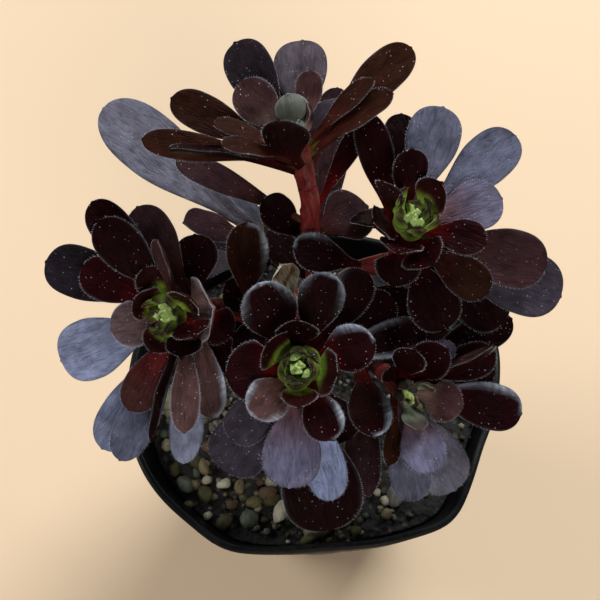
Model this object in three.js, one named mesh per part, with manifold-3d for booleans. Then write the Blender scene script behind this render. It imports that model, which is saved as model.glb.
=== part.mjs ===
// A potted tree aeonium: five dark rosettes on a forked red stem, in a soft black nursery pot.
// Units are millimetres, +Z is up, and the origin is the centre of the pot's base.
import * as THREE from 'three';
import { mergeVertices } from 'three/addons/utils/BufferGeometryUtils.js';
import Module from 'manifold-3d';

const wasm = await Module();
wasm.setup();

// ---------------------------------------------------------------- driving dimensions
const GAP = 0.3; // clearance between pieces that touch

const POT = {
  height: 72,
  baseRadius: 26,
  rimRadius: 45, // half width, left to right
  rimDepth: 0.94, // front-to-back share of the width at the rim
  waist: 0.6, // share of the height where the wall has a ring of its own
  footBevel: 1.2,
  lipBevel: 0.8,
  wall: 1.1,
  floor: 1.4,
  lipHeight: 7, // the rolled band round the rim
  lipProud: 1.0,
  drainRadius: 2.6,
  drainCircle: 16,
  drains: 8,
  sides: 32,
};
// Soft folds of the rim: [bearing, how far the rim stands out (+) or in (-), half angle it spreads over]
const FOLDS = [
  [-142, 1.8, 26],
  [-116, 1.7, 10],
  [-85, -2.2, 18],
  [-51, 1.6, 9],
  [-24, -3.2, 16],
  [-2, -1.5, 12],
  [40, 0.8, 18],
  [100, -1.4, 24],
  [150, 1.2, 18],
];

// The soil is flat out to a radius, then falls to the wall; its middle is a little domed.
const SOIL = { top: 65.5, crown: 1.8, flat: 32, dome: 0.5, stemHole: 3.6 };
// Stones lie in a spiral with an even share of the ground each, and stand proud by a share of their size.
const STONES = { count: 40, seed: 20, size: [1.4, 3.2], ring: 38, turn: 137.5, clearMiddle: 6, proud: 0.3 };

// Radii of the trunk's foot and head and of the branches'; a branch runs straight for its last stretch.
const STEM = { trunk: 3.1, trunkHead: 2.64, branchFoot: 2.28, branch: 1.9, sides: 6, steps: 7, straight: 3 };
// The crown's own frame: its face leans forward, and it starts level with the rim.
const CROWN = { lean: 28, right: -1, back: -5, height: POT.height };

const LEAF = { thick: 1.9, rootWidth: 0.25, neck: 0.18, dish: 0.1, ring: 1.6 };
// The widest place and the tip's bluntness grow with a leaf's length over its width.
const WIDEST = { start: 0.4, gain: 0.16, least: 0.56, most: 0.72 };
const BLUNT = { start: 1.2, gain: 0.8, least: 2, most: 2.8 };
const STATIONS = [0, 0.3, 0.55, 0.76, 0.93];
const CORE = { top: 2.2, sides: 7 };
const STUB = { below: 1, above: 2, foot: 1.5, head: 0.9 }; // the heart's own short stem

// Heads, in the crown's frame (x right, y up its face, z out of it).
// A leaf is [drop of its root below the heart, tip x, y, z from the heart, width, roll, bow].
const HEADS = {
  centre: {
    heart: [-3.7, 10.7, 44],
    axis: [0, 0.02, 1],
    core: 11,
    via: [[-2.6, 21, 20], [-3.2, 19, 26]],
    leaves: [
      [2, -0.2, 8.9, 6, 8, 0, -1.2],
      [2, -5.7, 4.6, 5, 9, 0, -1],
      [2, 7.4, -1, 5, 9, 0, -1],
      [2, 0.2, -7, 4.5, 7, 0, -1],
      [3, -8.7, -8.9, 2.5, 8.5, 0, 0.5],
      [4, -13.6, -1.5, 1, 12, 0, 0.5],
      [5, -1.7, -23.2, -1, 11.2, 0, 1],
      [4, 6.7, -13.5, 2, 7.8, 0, 0.5],
      [7, 6.7, -26.4, -5, 8.2, 0, 1],
      [10, 5.8, -34.2, -12, 16, 0, 1.5],
      [6, -12.8, -14.4, -3, 8.5, 0, 1],
      [10, -15, -22, -12, 12.5, 0, 1],
      [4, -7.6, 15.8, 1, 10.5, 0, 0.5],
      [5, 6.1, 17.7, 0, 8.8, 0, 0.5],
      [4, 14.4, 5.1, 1, 9.2, 0, 0.5],
      [8, 13.3, 18.2, -5, 8.5, 0, 1],
      [9, 25.7, 6.7, -10, 7.5, 0, 1],
      [10, -13, 5.5, -13, 9, 0, 0.5],
      [10, 10.5, -16, -15, 9, 0, 0.5],
      [9, 19, 13, -10, 9, 0, 0.5],
    ],
    buds: [
      [1, 0, 3.2, 4, 3.6, 0, -0.6],
      [1, -2.9, -0.5, 4, 3.6, 0, -0.6],
      [1, 2.8, -0.6, 4, 3.6, 0, -0.6],
      [1, 0, -2.9, 3.5, 3.6, 0, -0.6],
    ],
  },
  left: {
    heart: [-30.2, 20.4, 36],
    axis: [-0.6, -0.1, 0.78],
    core: 12,
    via: [[-10, 19, 20]],
    leaves: [
      [5, -14.5, 22.5, 0, 8.4, 30, 0.5],
      [4, -11.9, 18.4, 5, 9, 35, 0.5],
      [5, -25.1, 10.8, -5, 10.6, 24, 1],
      [3, -16.7, 9.4, -1, 8.8, 25, 0.5],
      [2, -3.8, 9.3, 2, 7, 40, -0.6],
      [1.5, -5.6, 3, 3, 8, 20, -0.6],
      [2.5, -10.9, -3, -1, 9.4, 0, 0],
      [5, -22.4, -9.6, -7, 12.6, -10, 1],
      [1.5, -2.4, -7, 2.4, 7, -40, -0.6],
      [5, -7.3, -19, -1, 8, -30, 0.5],
      [7, -14.2, -27.9, -8, 9.5, -25, 1],
      [7, -9.6, -29.4, -3, 8, -40, 1],
      [6, -2.6, -24.9, 1, 6.5, 50, 1],
      [6, 4.3, -22.7, 4, 5.8, -45, 1],
      [8, 3.4, -29.8, -2, 6.8, -45, 1],
      [4, 7, -4, 9, 8, -60, -0.5],
      [9, 9.7, -20.3, 1, 6.8, -45, 1],
      [9, -5.9, 21.7, -2, 9, 40, 0.5],
      [3, -0.5, 14.3, 7, 5.5, -15, 0],
      [6, -13.8, 14.6, -5, 8, 30, 1],
      [2, 5.8, 3.4, 10, 7, 38, -0.5],
      [9, -9, 0, -19, 9, 0, 0.5],
      [10, 3, 11, -15, 8, 30, 0.5],
      [11, 11, -12, -8, 9, -43, 0.5],
      [5, 4, -8, 6, 7, -60, -0.5],
      [9, 13, -4, -5, 8.5, -26, 0.5],
      [10, 4.9, 16.6, -9, 9, 45, 0.5],
      [4, 9.9, 1.5, 4, 13, 0, -0.5],
    ],
    buds: [
      [1, -3.5, 2, 3.5, 4, 0, -0.6],
      [1, 1, 3.2, 4.5, 3.4, 0, -0.6],
      [1, 1, -3, 4.5, 3.4, 0, -0.6],
      [1, -1.5, -3.4, 3.5, 3.4, 0, -0.6],
    ],
  },
  top: {
    heart: [-4.3, 56.7, 41],
    axis: [-0.2, 0.88, 0.41],
    core: 12,
    via: [[0, 28, 18], [-1.4, 38, 28]],
    leaves: [
      [4, -12, 17.8, -5, 9.6, -38, 0.5],
      [3, -10.5, 8.5, 1, 8.4, -60, 0],
      [4, 1.4, 18.2, -5, 10.6, 20, 0.5],
      [2, 3.1, 10.7, 1, 5.8, 30, -0.5],
      [7, -3.3, -0.5, 8, 9.5, 0, -0.5],
      [5, 22.7, 16, -2, 8.4, 55, 0.5],
      [4, 15, 9.3, 0, 5, 30, 0.5],
      [6, 18.7, 6.5, 1, 7, 30, 0.5],
      [6, -24.2, 6.1, -2, 7.6, -60, 0.5],
      [7, -29.7, -2.1, -1, 6, -60, 0.5],
      [8, -23.3, -5.2, 6, 7, 0, 1],
      [6, -13.2, -5.2, 9, 6, -30, 0.5],
      [5, -15.4, 0.2, 3, 5, -30, 0.5],
      [5, 9.7, 7, -6, 9, 0, 0.5],
      [4, -5.3, 11.3, -4, 5, 0, 0.5],
      [9, 8, 4, -6, 8, 0, 0.5],
      [6, -12, 4, -18, 8.5, 0, 0.5],
      [6, 3, 9, -20, 9, 0, 0.5],
      [8, -2, 12, -15, 8, 0, 0.5],
    ],
    buds: [
      [1, -1.3, 6.1, 1.4, 6.8, 0, -1],
      [1, 2.4, 4.2, 1, 4, 0, -0.5],
    ],
  },
  right: {
    heart: [18.3, 39.5, 41],
    axis: [0.13, 0.5, 0.86],
    core: 12,
    via: [[3.5, 24, 18], [9, 29.5, 25]],
    leaves: [
      [10, -8.9, 20.3, -2, 7.4, -10, 0.5],
      [6, -1.2, 21.5, -8, 8, 0, 0.5],
      [4, 6.5, 21.8, -3, 10.6, 0, 0.5],
      [5, 21, 16.3, -4, 10, 15, 0.5],
      [4, 17.6, 3.6, -1, 10, 20, 0.5],
      [3, -0.4, 12.5, 3, 7.2, 0, -0.5],
      [2, 5, 6, 4, 8, 0, -0.5],
      [3, 13.6, -5.4, 3, 7.2, 20, 0.5],
      [3, -6.2, 6.2, 5, 6, 75, 0],
      [4, -7.8, -1, 4, 8, 0, -0.5],
      [5, 3.5, -9.3, 4, 9, 30, -0.5],
      [6, 15.3, -14.8, -3, 8, 36, 1],
      [8, 7.4, -21.9, -6, 10.5, 25, 1],
      [6, 27, -9.4, -4, 11.4, 35, 1],
      [8, 31.4, -15.4, -9, 13, 35, 1],
      [9, 20.2, -20.4, -10, 10.5, 35, 1],
      [8, -9, 2, -17, 8, 0, 0.5],
      [8, 4, 7, -19, 9, 0, 0.5],
      [9, 16, 0, -15, 9, 0, 0.5],
      [8, 12.5, -17.5, -9, 9, 36, 0.5],
      [8, -3.4, -13.4, -3, 9, 6, 0.5],
      [4, -3.2, -7.2, 5, 8.5, 10, -0.5],
    ],
    buds: [
      [1, -2.3, 4.7, 4, 4, 0, -0.6],
      [1, 4.4, -1, 4, 4, 0, -0.6],
      [1, 1, -3, 4, 4, 0, -0.6],
      [1, -2.6, -0.8, 4.4, 3.4, 0, -0.6],
    ],
  },
  low: {
    heart: [18.8, 3.9, 34],
    axis: [0.4, -0.4, 0.82],
    core: 11,
    via: [[7, 12, 17]],
    leaves: [
      [2, 9.9, -1.8, 3, 8.4, -30, 0],
      [5, 23.6, -4, -5, 9.6, -24, 0.5],
      [3, 4.4, -14.8, 1, 9, 20, 0.5],
      [6, 1.2, -21.8, -4, 8.4, 25, 1],
      [9, 10.8, -20.8, -10, 12, 10, 1],
      [5, 17.5, 8.6, -2, 7.5, -35, 0.5],
      [6, 18.1, 4.2, -6, 7, -40, 0.5],
      [4, 15.8, 10.5, 5, 7, 40, 0.5],
      [8, 21.8, 15.6, -6, 8, -40, 0.5],
      [5, -4.4, -13.7, 0, 4.8, 0, 0.5],
      [5, 8.6, 10.5, 1, 5, -40, 0.5],
      [8, 8, 6, -16, 8, 0, 0.5],
      [8, -1, 12, -13, 7, 0, 0.5],
      [4, -4, 6.5, 3, 6, -13, 0],
      [4, -0.4, 10.1, 11, 6.5, -50, 0],
      [5, 6.8, 9.7, 4, 8, -50, 0.5],
    ],
    buds: [
      [1, 1.4, -6.2, 3, 5.8, 0, -0.6],
      [1, 4.2, 2, 3, 3.6, 0, -0.6],
    ],
  },
  back: {
    heart: [-12, 37.9, 11],
    axis: [-0.55, 0.45, 0.7],
    core: 8,
    via: [[-6, 26, 8]],
    leaves: [
      [4, -34.5, 27.5, 7, 14, 0, 1],
      [4, -16.6, 2.5, 8, 10, 0, 0.5],
      [5, -9.4, 11.4, -3, 9, 10, 0.5],
      [5, -17.5, -9, 0, 9, 0, 0.5],
      [5, -4, 6, -18, 9, 0, 0.5],
      [5, 6, 2, -16, 9, 0, 0.5],
      [6, -14, -2, -12, 10, 0, 0.5],
    ],
    buds: [
      [1, -3, 1, 4, 3.6, 0, -0.6],
      [1, 1, 2, 5, 3.6, 0, -0.6],
    ],
  },
};

// The trunk's foot stands in the soil, and the fork is where the branches part (crown's frame).
const TRUNK_FOOT = [1, 5, 56];
const FORK = [0.8, 15.4, 10];

// Leaves on the branches below the heads:
// [branch, share of the way along it, tip x, y, z in the crown's frame, width, roll, bow].
const STEM_LEAVES = [
  ['top', 0.76, -29, 52.6, 28, 6, 0, 1],
  ['top', 0.3, 5, 71, 13, 9.5, 0, 0.5],
  ['top', 0.62, -11.1, 43.5, 33, 7.6, 0, 0.5],
  ['top', 0.8, 10.6, 60.4, 32, 4.6, 0, 0.5],
  ['top', 0.66, 11.2, 43.5, 21, 12, 0, 0.5],
  ['top', 0.3, -10.2, 37.9, 23, 7, 0, 0.5],
  ['right', 0.72, -4.7, 34, 35, 8, 0, 0.5],
  ['right', 0.45, 22, 19, 24, 11, 0, 0.5],
  ['centre', 0.5, 15, 20, 26, 9, 0, 0.5],
  ['low', 0.64, 11, -2.8, 42, 8.5, 0, 0],
  ['low', 0.6, 9.6, -16.6, 33, 7.4, 0, 0.5],
  ['low', 0.35, 27, 11, 14, 9, 0, 0.5],
  ['left', 0.68, -13.5, 38.8, 37, 8.5, 0, 0.5],
  ['left', 0.4, -21, 12, 22, 10, 0, 0.5],
  ['left', 0.6, -18.6, 27.1, 28, 8, 0, 0.5],
  ['low', 0.5, 28.7, 17.2, 20, 8, 0, 0.5],
];

// One withered leaf hangs on by its shrunken stalk, in the same terms as a leaf on a branch.
const DRIED_LEAF = ['centre', 0.55, -7.2, 30.6, 32, 8.5, 20, -1.5];

// ---------------------------------------------------------------- small helpers
const radians = THREE.MathUtils.degToRad;
const vec = (x, y, z) => new THREE.Vector3(x, y, z);

// The crown's frame stands on the rim and leans forward about the left-to-right axis.
function crownPoint([x, y, z]) {
  const start = vec(CROWN.right, CROWN.back, CROWN.height);
  return vec(x, y, z).applyAxisAngle(vec(1, 0, 0), radians(CROWN.lean)).add(start);
}

function crownDirection([x, y, z]) {
  return vec(x, y, z).applyAxisAngle(vec(1, 0, 0), radians(CROWN.lean)).normalize();
}

function seededRandom(seed) {
  let state = seed;
  return () => {
    state = (state * 1664525 + 1013904223) % 4294967296;
    return state / 4294967296;
  };
}

// Closed skin over rings of points that all have the same number of points; the ends are fans
// to the given end points, or to the middle of the end ring.
function loft(rings, startPoint, endPoint) {
  const count = rings[0].length;
  const points = rings.flat();
  const middle = (ring) => ring.reduce((sum, p) => sum.add(p), vec(0, 0, 0)).divideScalar(count);
  points.push(startPoint ?? middle(rings[0]), endPoint ?? middle(rings.at(-1)));
  const start = points.length - 2;
  const end = points.length - 1;
  const faces = [];
  for (let j = 0; j < count; j += 1) {
    const next = (j + 1) % count;
    faces.push(start, next, j);
    for (let i = 0; i + 1 < rings.length; i += 1) {
      const a = i * count + j;
      const b = i * count + next;
      faces.push(a, b, b + count, a, b + count, a + count);
    }
    const last = (rings.length - 1) * count;
    faces.push(last + j, last + next, end);
  }
  const geometry = new THREE.BufferGeometry().setFromPoints(points);
  geometry.setIndex(faces);
  return geometry;
}

function toSolid(geometry) {
  const bare = geometry.clone();
  bare.deleteAttribute('normal');
  bare.deleteAttribute('uv');
  const merged = mergeVertices(bare, 1e-4);
  return new wasm.Manifold(
    new wasm.Mesh({
      numProp: 3,
      vertProperties: new Float32Array(merged.attributes.position.array),
      triVerts: new Uint32Array(merged.index.array),
    }),
  );
}

function toGeometry(solid) {
  const mesh = solid.getMesh();
  const geometry = new THREE.BufferGeometry();
  geometry.setAttribute('position', new THREE.BufferAttribute(mesh.vertProperties, 3));
  geometry.setIndex(new THREE.BufferAttribute(mesh.triVerts, 1));
  geometry.computeVertexNormals();
  return geometry;
}

const fuse = (solids) => solids.reduce((sum, solid) => sum.add(solid));

// A cut can leave a loose scrap behind: only the largest body stays.
function largestBody(solid) {
  return solid.decompose().reduce((best, body) => (body.volume() > best.volume() ? body : best));
}

function makeMesh(name, geometry, color, roughness) {
  const mesh = new THREE.Mesh(geometry, new THREE.MeshStandardMaterial({ color, roughness, metalness: 0 }));
  mesh.name = name;
  return mesh;
}

// ---------------------------------------------------------------- pot
// How far the soft wall stands out of round at a bearing, in full at the rim and none at the base.
function foldAt(bearing, share) {
  let out = 0;
  for (const [centre, amount, spread] of FOLDS) {
    const off = ((bearing - centre + 540) % 360) - 180;
    out += amount * Math.exp(-((off / spread) ** 2));
  }
  return out * share ** 2;
}

// A level ring of the pot's outside at a height, moved out by an offset.
function potRing(height, offset) {
  const share = height / POT.height;
  const radius = POT.baseRadius + (POT.rimRadius - POT.baseRadius) * share;
  const depth = 1 - (1 - POT.rimDepth) * share;
  return Array.from({ length: POT.sides }, (_, i) => {
    const bearing = (360 * i) / POT.sides;
    const r = radius + foldAt(bearing, share) + offset;
    return vec(r * Math.cos(radians(bearing)), r * depth * Math.sin(radians(bearing)), height);
  });
}

function atHeight(ring, height) {
  return ring.map((p) => vec(p.x, p.y, height));
}

function makePot() {
  const { height, wall, floor, lipHeight, lipProud, footBevel, lipBevel } = POT;
  const lipFoot = height - lipHeight;
  const outside = [
    potRing(0, -footBevel),
    atHeight(potRing(footBevel, 0), footBevel),
    potRing(POT.waist * height, 0),
    potRing(lipFoot, 0),
    atHeight(potRing(lipFoot, lipProud), lipFoot + lipBevel),
    atHeight(potRing(height, lipProud), height - lipBevel),
    potRing(height, lipProud - lipBevel),
  ];
  const inside = [
    potRing(height, -wall),
    potRing(SOIL.top - SOIL.crown, -wall),
    potRing(POT.waist * height, -wall),
    potRing(floor, -wall),
  ];
  let pot = toSolid(loft([...outside, ...inside], vec(0, 0, 0), vec(0, 0, floor)));
  for (let i = 0; i < POT.drains; i += 1) {
    const bearing = radians((360 * (i + 0.5)) / POT.drains);
    const drain = new THREE.CylinderGeometry(POT.drainRadius, POT.drainRadius, 4 * floor, 8);
    drain.rotateX(Math.PI / 2);
    drain.translate(POT.drainCircle * Math.cos(bearing), POT.drainCircle * Math.sin(bearing), floor / 2);
    pot = pot.subtract(toSolid(drain));
  }
  return pot;
}

// ---------------------------------------------------------------- soil and its stones
function soilHeight(radius) {
  const fall = Math.max(0, (radius - SOIL.flat) / (POT.rimRadius - SOIL.flat));
  return SOIL.top - SOIL.crown * fall;
}

function makeStone(random, bearing, radius, size) {
  const stone = new THREE.IcosahedronGeometry(size, 0);
  stone.scale(1 + 0.5 * random(), 0.75 + 0.3 * random(), 0.6 + 0.3 * random());
  stone.rotateZ(random() * Math.PI);
  const x = radius * Math.cos(bearing);
  const y = radius * POT.rimDepth * Math.sin(bearing);
  stone.translate(x, y, soilHeight(radius) + STONES.proud * size);
  return stone;
}

function makeSoil() {
  const inner = -POT.wall - GAP;
  const foot = POT.floor + GAP;
  const rings = [
    potRing(foot, inner),
    potRing(POT.waist * POT.height, inner),
    atHeight(potRing(SOIL.top - SOIL.crown, inner), SOIL.top - SOIL.crown),
    atHeight(potRing(SOIL.top - SOIL.crown, SOIL.flat - POT.rimRadius), SOIL.top),
  ];
  let soil = toSolid(loft(rings, vec(0, 0, foot), vec(0, 0, SOIL.top + SOIL.dome)));
  const random = seededRandom(STONES.seed);
  for (let i = 0; i < STONES.count; i += 1) {
    const bearing = radians(STONES.turn * i);
    const share = (i + STONES.clearMiddle) / (STONES.count + STONES.clearMiddle);
    const radius = STONES.ring * Math.sqrt(share) - random();
    const size = THREE.MathUtils.lerp(STONES.size[0], STONES.size[1], random() ** 2);
    soil = soil.add(toSolid(makeStone(random, bearing, radius, size)));
  }
  const [x, y, z] = TRUNK_FOOT;
  const depth = 2 * (SOIL.top + SOIL.dome - z + GAP);
  const hole = new THREE.CylinderGeometry(SOIL.stemHole, SOIL.stemHole, depth, 16);
  hole.rotateX(Math.PI / 2);
  hole.translate(x, y, SOIL.top + SOIL.dome);
  return soil.subtract(toSolid(hole));
}

// ---------------------------------------------------------------- leaves
// A leaf is a spoon: narrow at its root, widest three quarters out, round at its tip, thick along
// its middle and thin at its edges, dished a little and bowed along its length. A short leaf is
// widest nearer its middle, so it is almost round.
function makeLeaf(root, tip, upward, width, roll, bow, grow = 0) {
  const along = tip.clone().sub(root);
  const length = along.length();
  along.normalize();
  const up = upward.clone().addScaledVector(along, -upward.dot(along)).normalize();
  up.applyAxisAngle(along, radians(roll));
  const side = up.clone().cross(along);
  const slender = length / width;
  const grown = ({ start, gain, least, most }) => THREE.MathUtils.clamp(start + gain * slender, least, most);
  const widest = grown(WIDEST);
  const blunt = grown(BLUNT);
  const rings = STATIONS.map((s) => {
    const rise = THREE.MathUtils.smoothstep(s, LEAF.neck, widest);
    const swell = LEAF.rootWidth + (1 - LEAF.rootWidth) * rise;
    const past = Math.max(0, (s - widest) / (1 - widest));
    const half = grow + 0.5 * width * swell * Math.sqrt(1 - past ** blunt);
    const thick = LEAF.thick * (1 - 0.35 * s);
    const middle = root.clone().addScaledVector(along, s * length);
    middle.addScaledVector(up, 4 * bow * s * (1 - s));
    const at = (across, above) => middle.clone().addScaledVector(side, across).addScaledVector(up, above);
    const dish = LEAF.dish * 2 * half;
    return [at(half, dish), at(0, 0.35 * thick + grow), at(-half, dish), at(0, -0.65 * thick - grow)];
  });
  return toSolid(loft(rings, null, tip.clone().addScaledVector(along, grow)));
}

function headLeaf(heart, axis, [drop, x, y, z, width, roll, bow], grow = 0) {
  const reach = crownDirection([x, y, z]).multiplyScalar(Math.hypot(x, y, z));
  const outward = reach.clone().addScaledVector(axis, -reach.dot(axis)).normalize();
  const root = heart.clone().addScaledVector(axis, -drop).addScaledVector(outward, LEAF.ring);
  return makeLeaf(root, heart.clone().add(reach), axis, width, roll, bow, grow);
}

// ---------------------------------------------------------------- stem
// A tapering rod along a smooth curve through the points.
function makeRod(curve, radii, sides, steps) {
  const frames = curve.computeFrenetFrames(steps, false);
  const rings = [];
  for (let i = 0; i <= steps; i += 1) {
    const centre = curve.getPointAt(i / steps);
    const radius = THREE.MathUtils.lerp(radii[0], radii[1], i / steps);
    rings.push(
      Array.from({ length: sides }, (_, k) => {
        const turn = (2 * Math.PI * k) / sides;
        return centre
          .clone()
          .addScaledVector(frames.normals[i], radius * Math.cos(turn))
          .addScaledVector(frames.binormals[i], radius * Math.sin(turn));
      }),
    );
  }
  return toSolid(loft(rings));
}

const straight = (from, to) => new THREE.LineCurve3(from, to);

// The branch that carries a head, from the fork up to just under the head's core.
function branchCurve({ heart, axis, core, via }) {
  const along = crownDirection(axis);
  const end = crownPoint(heart).addScaledVector(along, -core - GAP);
  const knee = end.clone().addScaledVector(along, -STEM.straight);
  return new THREE.CatmullRomCurve3([crownPoint(FORK), ...via.map(crownPoint), knee, end]);
}

function makeStem() {
  const foot = vec(...TRUNK_FOOT);
  const fork = crownPoint(FORK);
  const trunk = new THREE.CatmullRomCurve3([foot, foot.clone().setZ(SOIL.top + 3), fork]);
  const parts = [makeRod(trunk, [STEM.trunk, STEM.trunkHead], STEM.sides, 4)];
  for (const head of Object.values(HEADS)) {
    parts.push(makeRod(branchCurve(head), [STEM.branchFoot, STEM.branch], STEM.sides, STEM.steps));
  }
  for (const [name, share, x, y, z, width, roll, bow] of STEM_LEAVES) {
    const root = branchCurve(HEADS[name]).getPointAt(share);
    parts.push(makeLeaf(root, crownPoint([x, y, z]), crownDirection([0, 0.2, 1]), width, roll, bow));
  }
  return largestBody(fuse(parts));
}

function makeDriedLeaf() {
  const [name, share, x, y, z, width, roll, bow] = DRIED_LEAF;
  const branch = branchCurve(HEADS[name]);
  const tip = crownPoint([x, y, z]);
  const root = branch.getPointAt(share);
  const reach = tip.clone().sub(root);
  const tangent = branch.getTangentAt(share);
  const outward = reach.clone().addScaledVector(tangent, -reach.dot(tangent)).normalize();
  root.addScaledVector(outward, STEM.branchFoot + GAP);
  return makeLeaf(root, tip, crownDirection([0, 0.2, 1]), width, roll, bow);
}

// ---------------------------------------------------------------- heads
// The green heart: small leaves round a stub, or the hollow they need when grown by a clearance.
function makeHeart({ heart, axis, buds }, grow = 0) {
  const at = crownPoint(heart);
  const along = crownDirection(axis);
  const foot = at.clone().addScaledVector(along, -STUB.below - grow);
  const head = at.clone().addScaledVector(along, STUB.above);
  return fuse([
    makeRod(straight(foot, head), [STUB.foot + grow, STUB.head + grow], STEM.sides, 1),
    ...buds.map((row) => headLeaf(at, along, row, grow)),
  ]);
}

function makeLeaves(head) {
  const heart = crownPoint(head.heart);
  const axis = crownDirection(head.axis);
  const foot = heart.clone().addScaledVector(axis, -head.core);
  const core = makeRod(straight(foot, heart), [STEM.branch, CORE.top], CORE.sides, 1);
  const leaves = fuse([core, ...head.leaves.map((row) => headLeaf(heart, axis, row))]);
  return largestBody(leaves.subtract(makeHeart(head, GAP)));
}

// ---------------------------------------------------------------- the object
const POT_COLOR = 0x17181a;
const SOIL_COLOR = 0x4a4336;
const STEM_COLOR = 0x8a3a33;
const LEAF_COLOR = 0x3a1f2a;
const HEART_COLOR = 0x9db83c;
const DRIED_COLOR = 0xd8cba6;

const group = new THREE.Group();
group.name = 'potted_aeonium';
group.add(makeMesh('pot', toGeometry(makePot()), POT_COLOR, 0.5));
group.add(makeMesh('soil', toGeometry(makeSoil()), SOIL_COLOR, 0.95));
group.add(makeMesh('stem', toGeometry(makeStem()), STEM_COLOR, 0.35));
group.add(makeMesh('dried_leaf', toGeometry(makeDriedLeaf()), DRIED_COLOR, 0.85));
for (const [name, head] of Object.entries(HEADS)) {
  group.add(makeMesh(`leaves_${name}`, toGeometry(makeLeaves(head)), LEAF_COLOR, 0.45));
  group.add(makeMesh(`heart_${name}`, toGeometry(makeHeart(head)), HEART_COLOR, 0.4));
}

export default group;
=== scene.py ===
# %% [markdown]
# A potted tree aeonium: dark rosettes on a forked red stem, in a soft black nursery pot.
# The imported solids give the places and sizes. Every piece here is a finer skin worked out from the
# same rows of numbers, so that it stands where its solid stands.

# %% Load the frame
import math
from collections import namedtuple

import bmesh
import bpy
import numpy as np
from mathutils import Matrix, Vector


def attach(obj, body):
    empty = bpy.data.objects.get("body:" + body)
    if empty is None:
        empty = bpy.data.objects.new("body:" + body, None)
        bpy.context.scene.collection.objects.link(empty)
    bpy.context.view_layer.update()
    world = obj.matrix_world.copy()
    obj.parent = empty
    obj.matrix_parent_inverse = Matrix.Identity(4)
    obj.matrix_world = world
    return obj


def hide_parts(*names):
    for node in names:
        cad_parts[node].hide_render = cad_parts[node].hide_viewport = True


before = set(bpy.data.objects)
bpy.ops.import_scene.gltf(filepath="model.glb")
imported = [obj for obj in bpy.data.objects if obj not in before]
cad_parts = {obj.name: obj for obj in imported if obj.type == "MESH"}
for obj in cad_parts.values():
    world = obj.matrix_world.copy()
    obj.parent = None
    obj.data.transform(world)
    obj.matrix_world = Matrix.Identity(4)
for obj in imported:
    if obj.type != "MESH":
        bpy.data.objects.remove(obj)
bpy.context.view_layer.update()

# %% [markdown]
# The plant is measured in millimetres, and Blender works in metres, so one helper builds every mesh
# and turns millimetres into metres. It also writes the attributes that the materials read:
# a colour for each point, and a map in millimetres that runs with the surface. A pattern that reads
# this map follows the leaf as veins do, instead of cutting straight through it.

# %% Mesh helper
MM = 0.001


def add_mesh(name, points, faces, colour=None, surface_map=None, gloss=None, smooth=True):
    """Mesh object from points (n, 3) in millimetres and a list of face arrays, with its attributes."""
    mesh = bpy.data.meshes.new(name)
    faces = [face for group in faces for face in group.tolist()]
    mesh.from_pydata((points * MM).tolist(), [], faces)
    if colour is not None:
        rgba = np.ones((len(points), 4))
        rgba[:, :3] = colour
        mesh.attributes.new("skin", "FLOAT_COLOR", "POINT").data.foreach_set("color", rgba.ravel())
    if surface_map is not None:
        held = mesh.attributes.new("surface_map", "FLOAT_VECTOR", "POINT")
        held.data.foreach_set("vector", np.ascontiguousarray(surface_map, float).ravel())
    if gloss is not None:
        mesh.attributes.new("gloss", "FLOAT", "POINT").data.foreach_set("value", gloss.ravel())
    mesh.polygons.foreach_set("use_smooth", np.full(len(faces), smooth))
    mesh.update()
    obj = bpy.data.objects.new(name, mesh)
    bpy.context.scene.collection.objects.link(obj)
    return obj


def place(obj, material, slot, *nodes):
    """Gives a piece its material, lets it ride on the plant and hides the solids it stands for; slot is not
    used.
    """
    obj.data.materials.append(material)
    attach(obj, "root")
    if nodes:
        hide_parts(*nodes)
    print(f"{obj.name}: {len(obj.data.polygons)} faces")


def unit(v):
    """A vector, or an array of them, at length one."""
    return v / np.linalg.norm(v, axis=-1, keepdims=True)


def blend(a, b, share):
    """a where share is 0, b where it is 1; share may be an array of any shape."""
    share = np.asarray(share, float)[..., None]
    return np.asarray(a, float) * (1 - share) + np.asarray(b, float) * share


def ramp(x, start, end):
    """0 before start, 1 after end, and a smooth rise of t*t*(3 - 2t) between them."""
    t = np.clip((np.asarray(x, float) - start) / (end - start), 0, 1)
    return t * t * (3 - 2 * t)


def skin_faces(rows, columns):
    """Faces of one closed skin: a grid of rings, then one point that closes each end.

    Points run ring by ring, then the start point and the end point."""
    i, j = np.meshgrid(np.arange(rows - 1), np.arange(columns), indexing="ij")
    k = (j + 1) % columns
    corners = [i * columns + j, i * columns + k, (i + 1) * columns + k, (i + 1) * columns + j]
    quads = np.stack(corners, -1).reshape(-1, 4)
    j = np.arange(columns)
    k = (j + 1) % columns
    last = (rows - 1) * columns
    start, end = np.full(columns, rows * columns), np.full(columns, rows * columns + 1)
    return quads, np.concatenate([np.stack([start, k, j], -1), np.stack([end, last + j, last + k], -1)])


print("helpers ready")

# %% [markdown]
# The crown has its own frame: x to the right, y up its face and z out of it. It stands on the pot's
# rim and leans forward, so one turn about the left-to-right axis carries any point into the world.

# %% The crown's frame
LEAN = math.radians(28)
CROWN_START = np.array([-1.0, -5.0, 72.0])
TURN = np.array([[1, 0, 0],
                 [0, math.cos(LEAN), -math.sin(LEAN)],
                 [0, math.sin(LEAN), math.cos(LEAN)]])


def crown_direction(v):
    """Unit direction in the world of a direction in the crown's frame."""
    return unit(TURN @ np.asarray(v, float))


def crown_point(p):
    """World point, in millimetres, of a point in the crown's frame."""
    return TURN @ np.asarray(p, float) + CROWN_START


print("crown starts at", CROWN_START)

# %% [markdown]
# A leaf is a spoon. It leaves the stem on a narrow foot, is widest well past its middle and ends in a
# round tip with a tiny point. It is fleshy along the middle and thin at its edge, a little dished, and
# no two are bent quite alike. Modelling each one by hand would take days, and a flat card with a
# picture of a leaf looks wrong from the side, so one function makes a closed skin from a few numbers.

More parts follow.
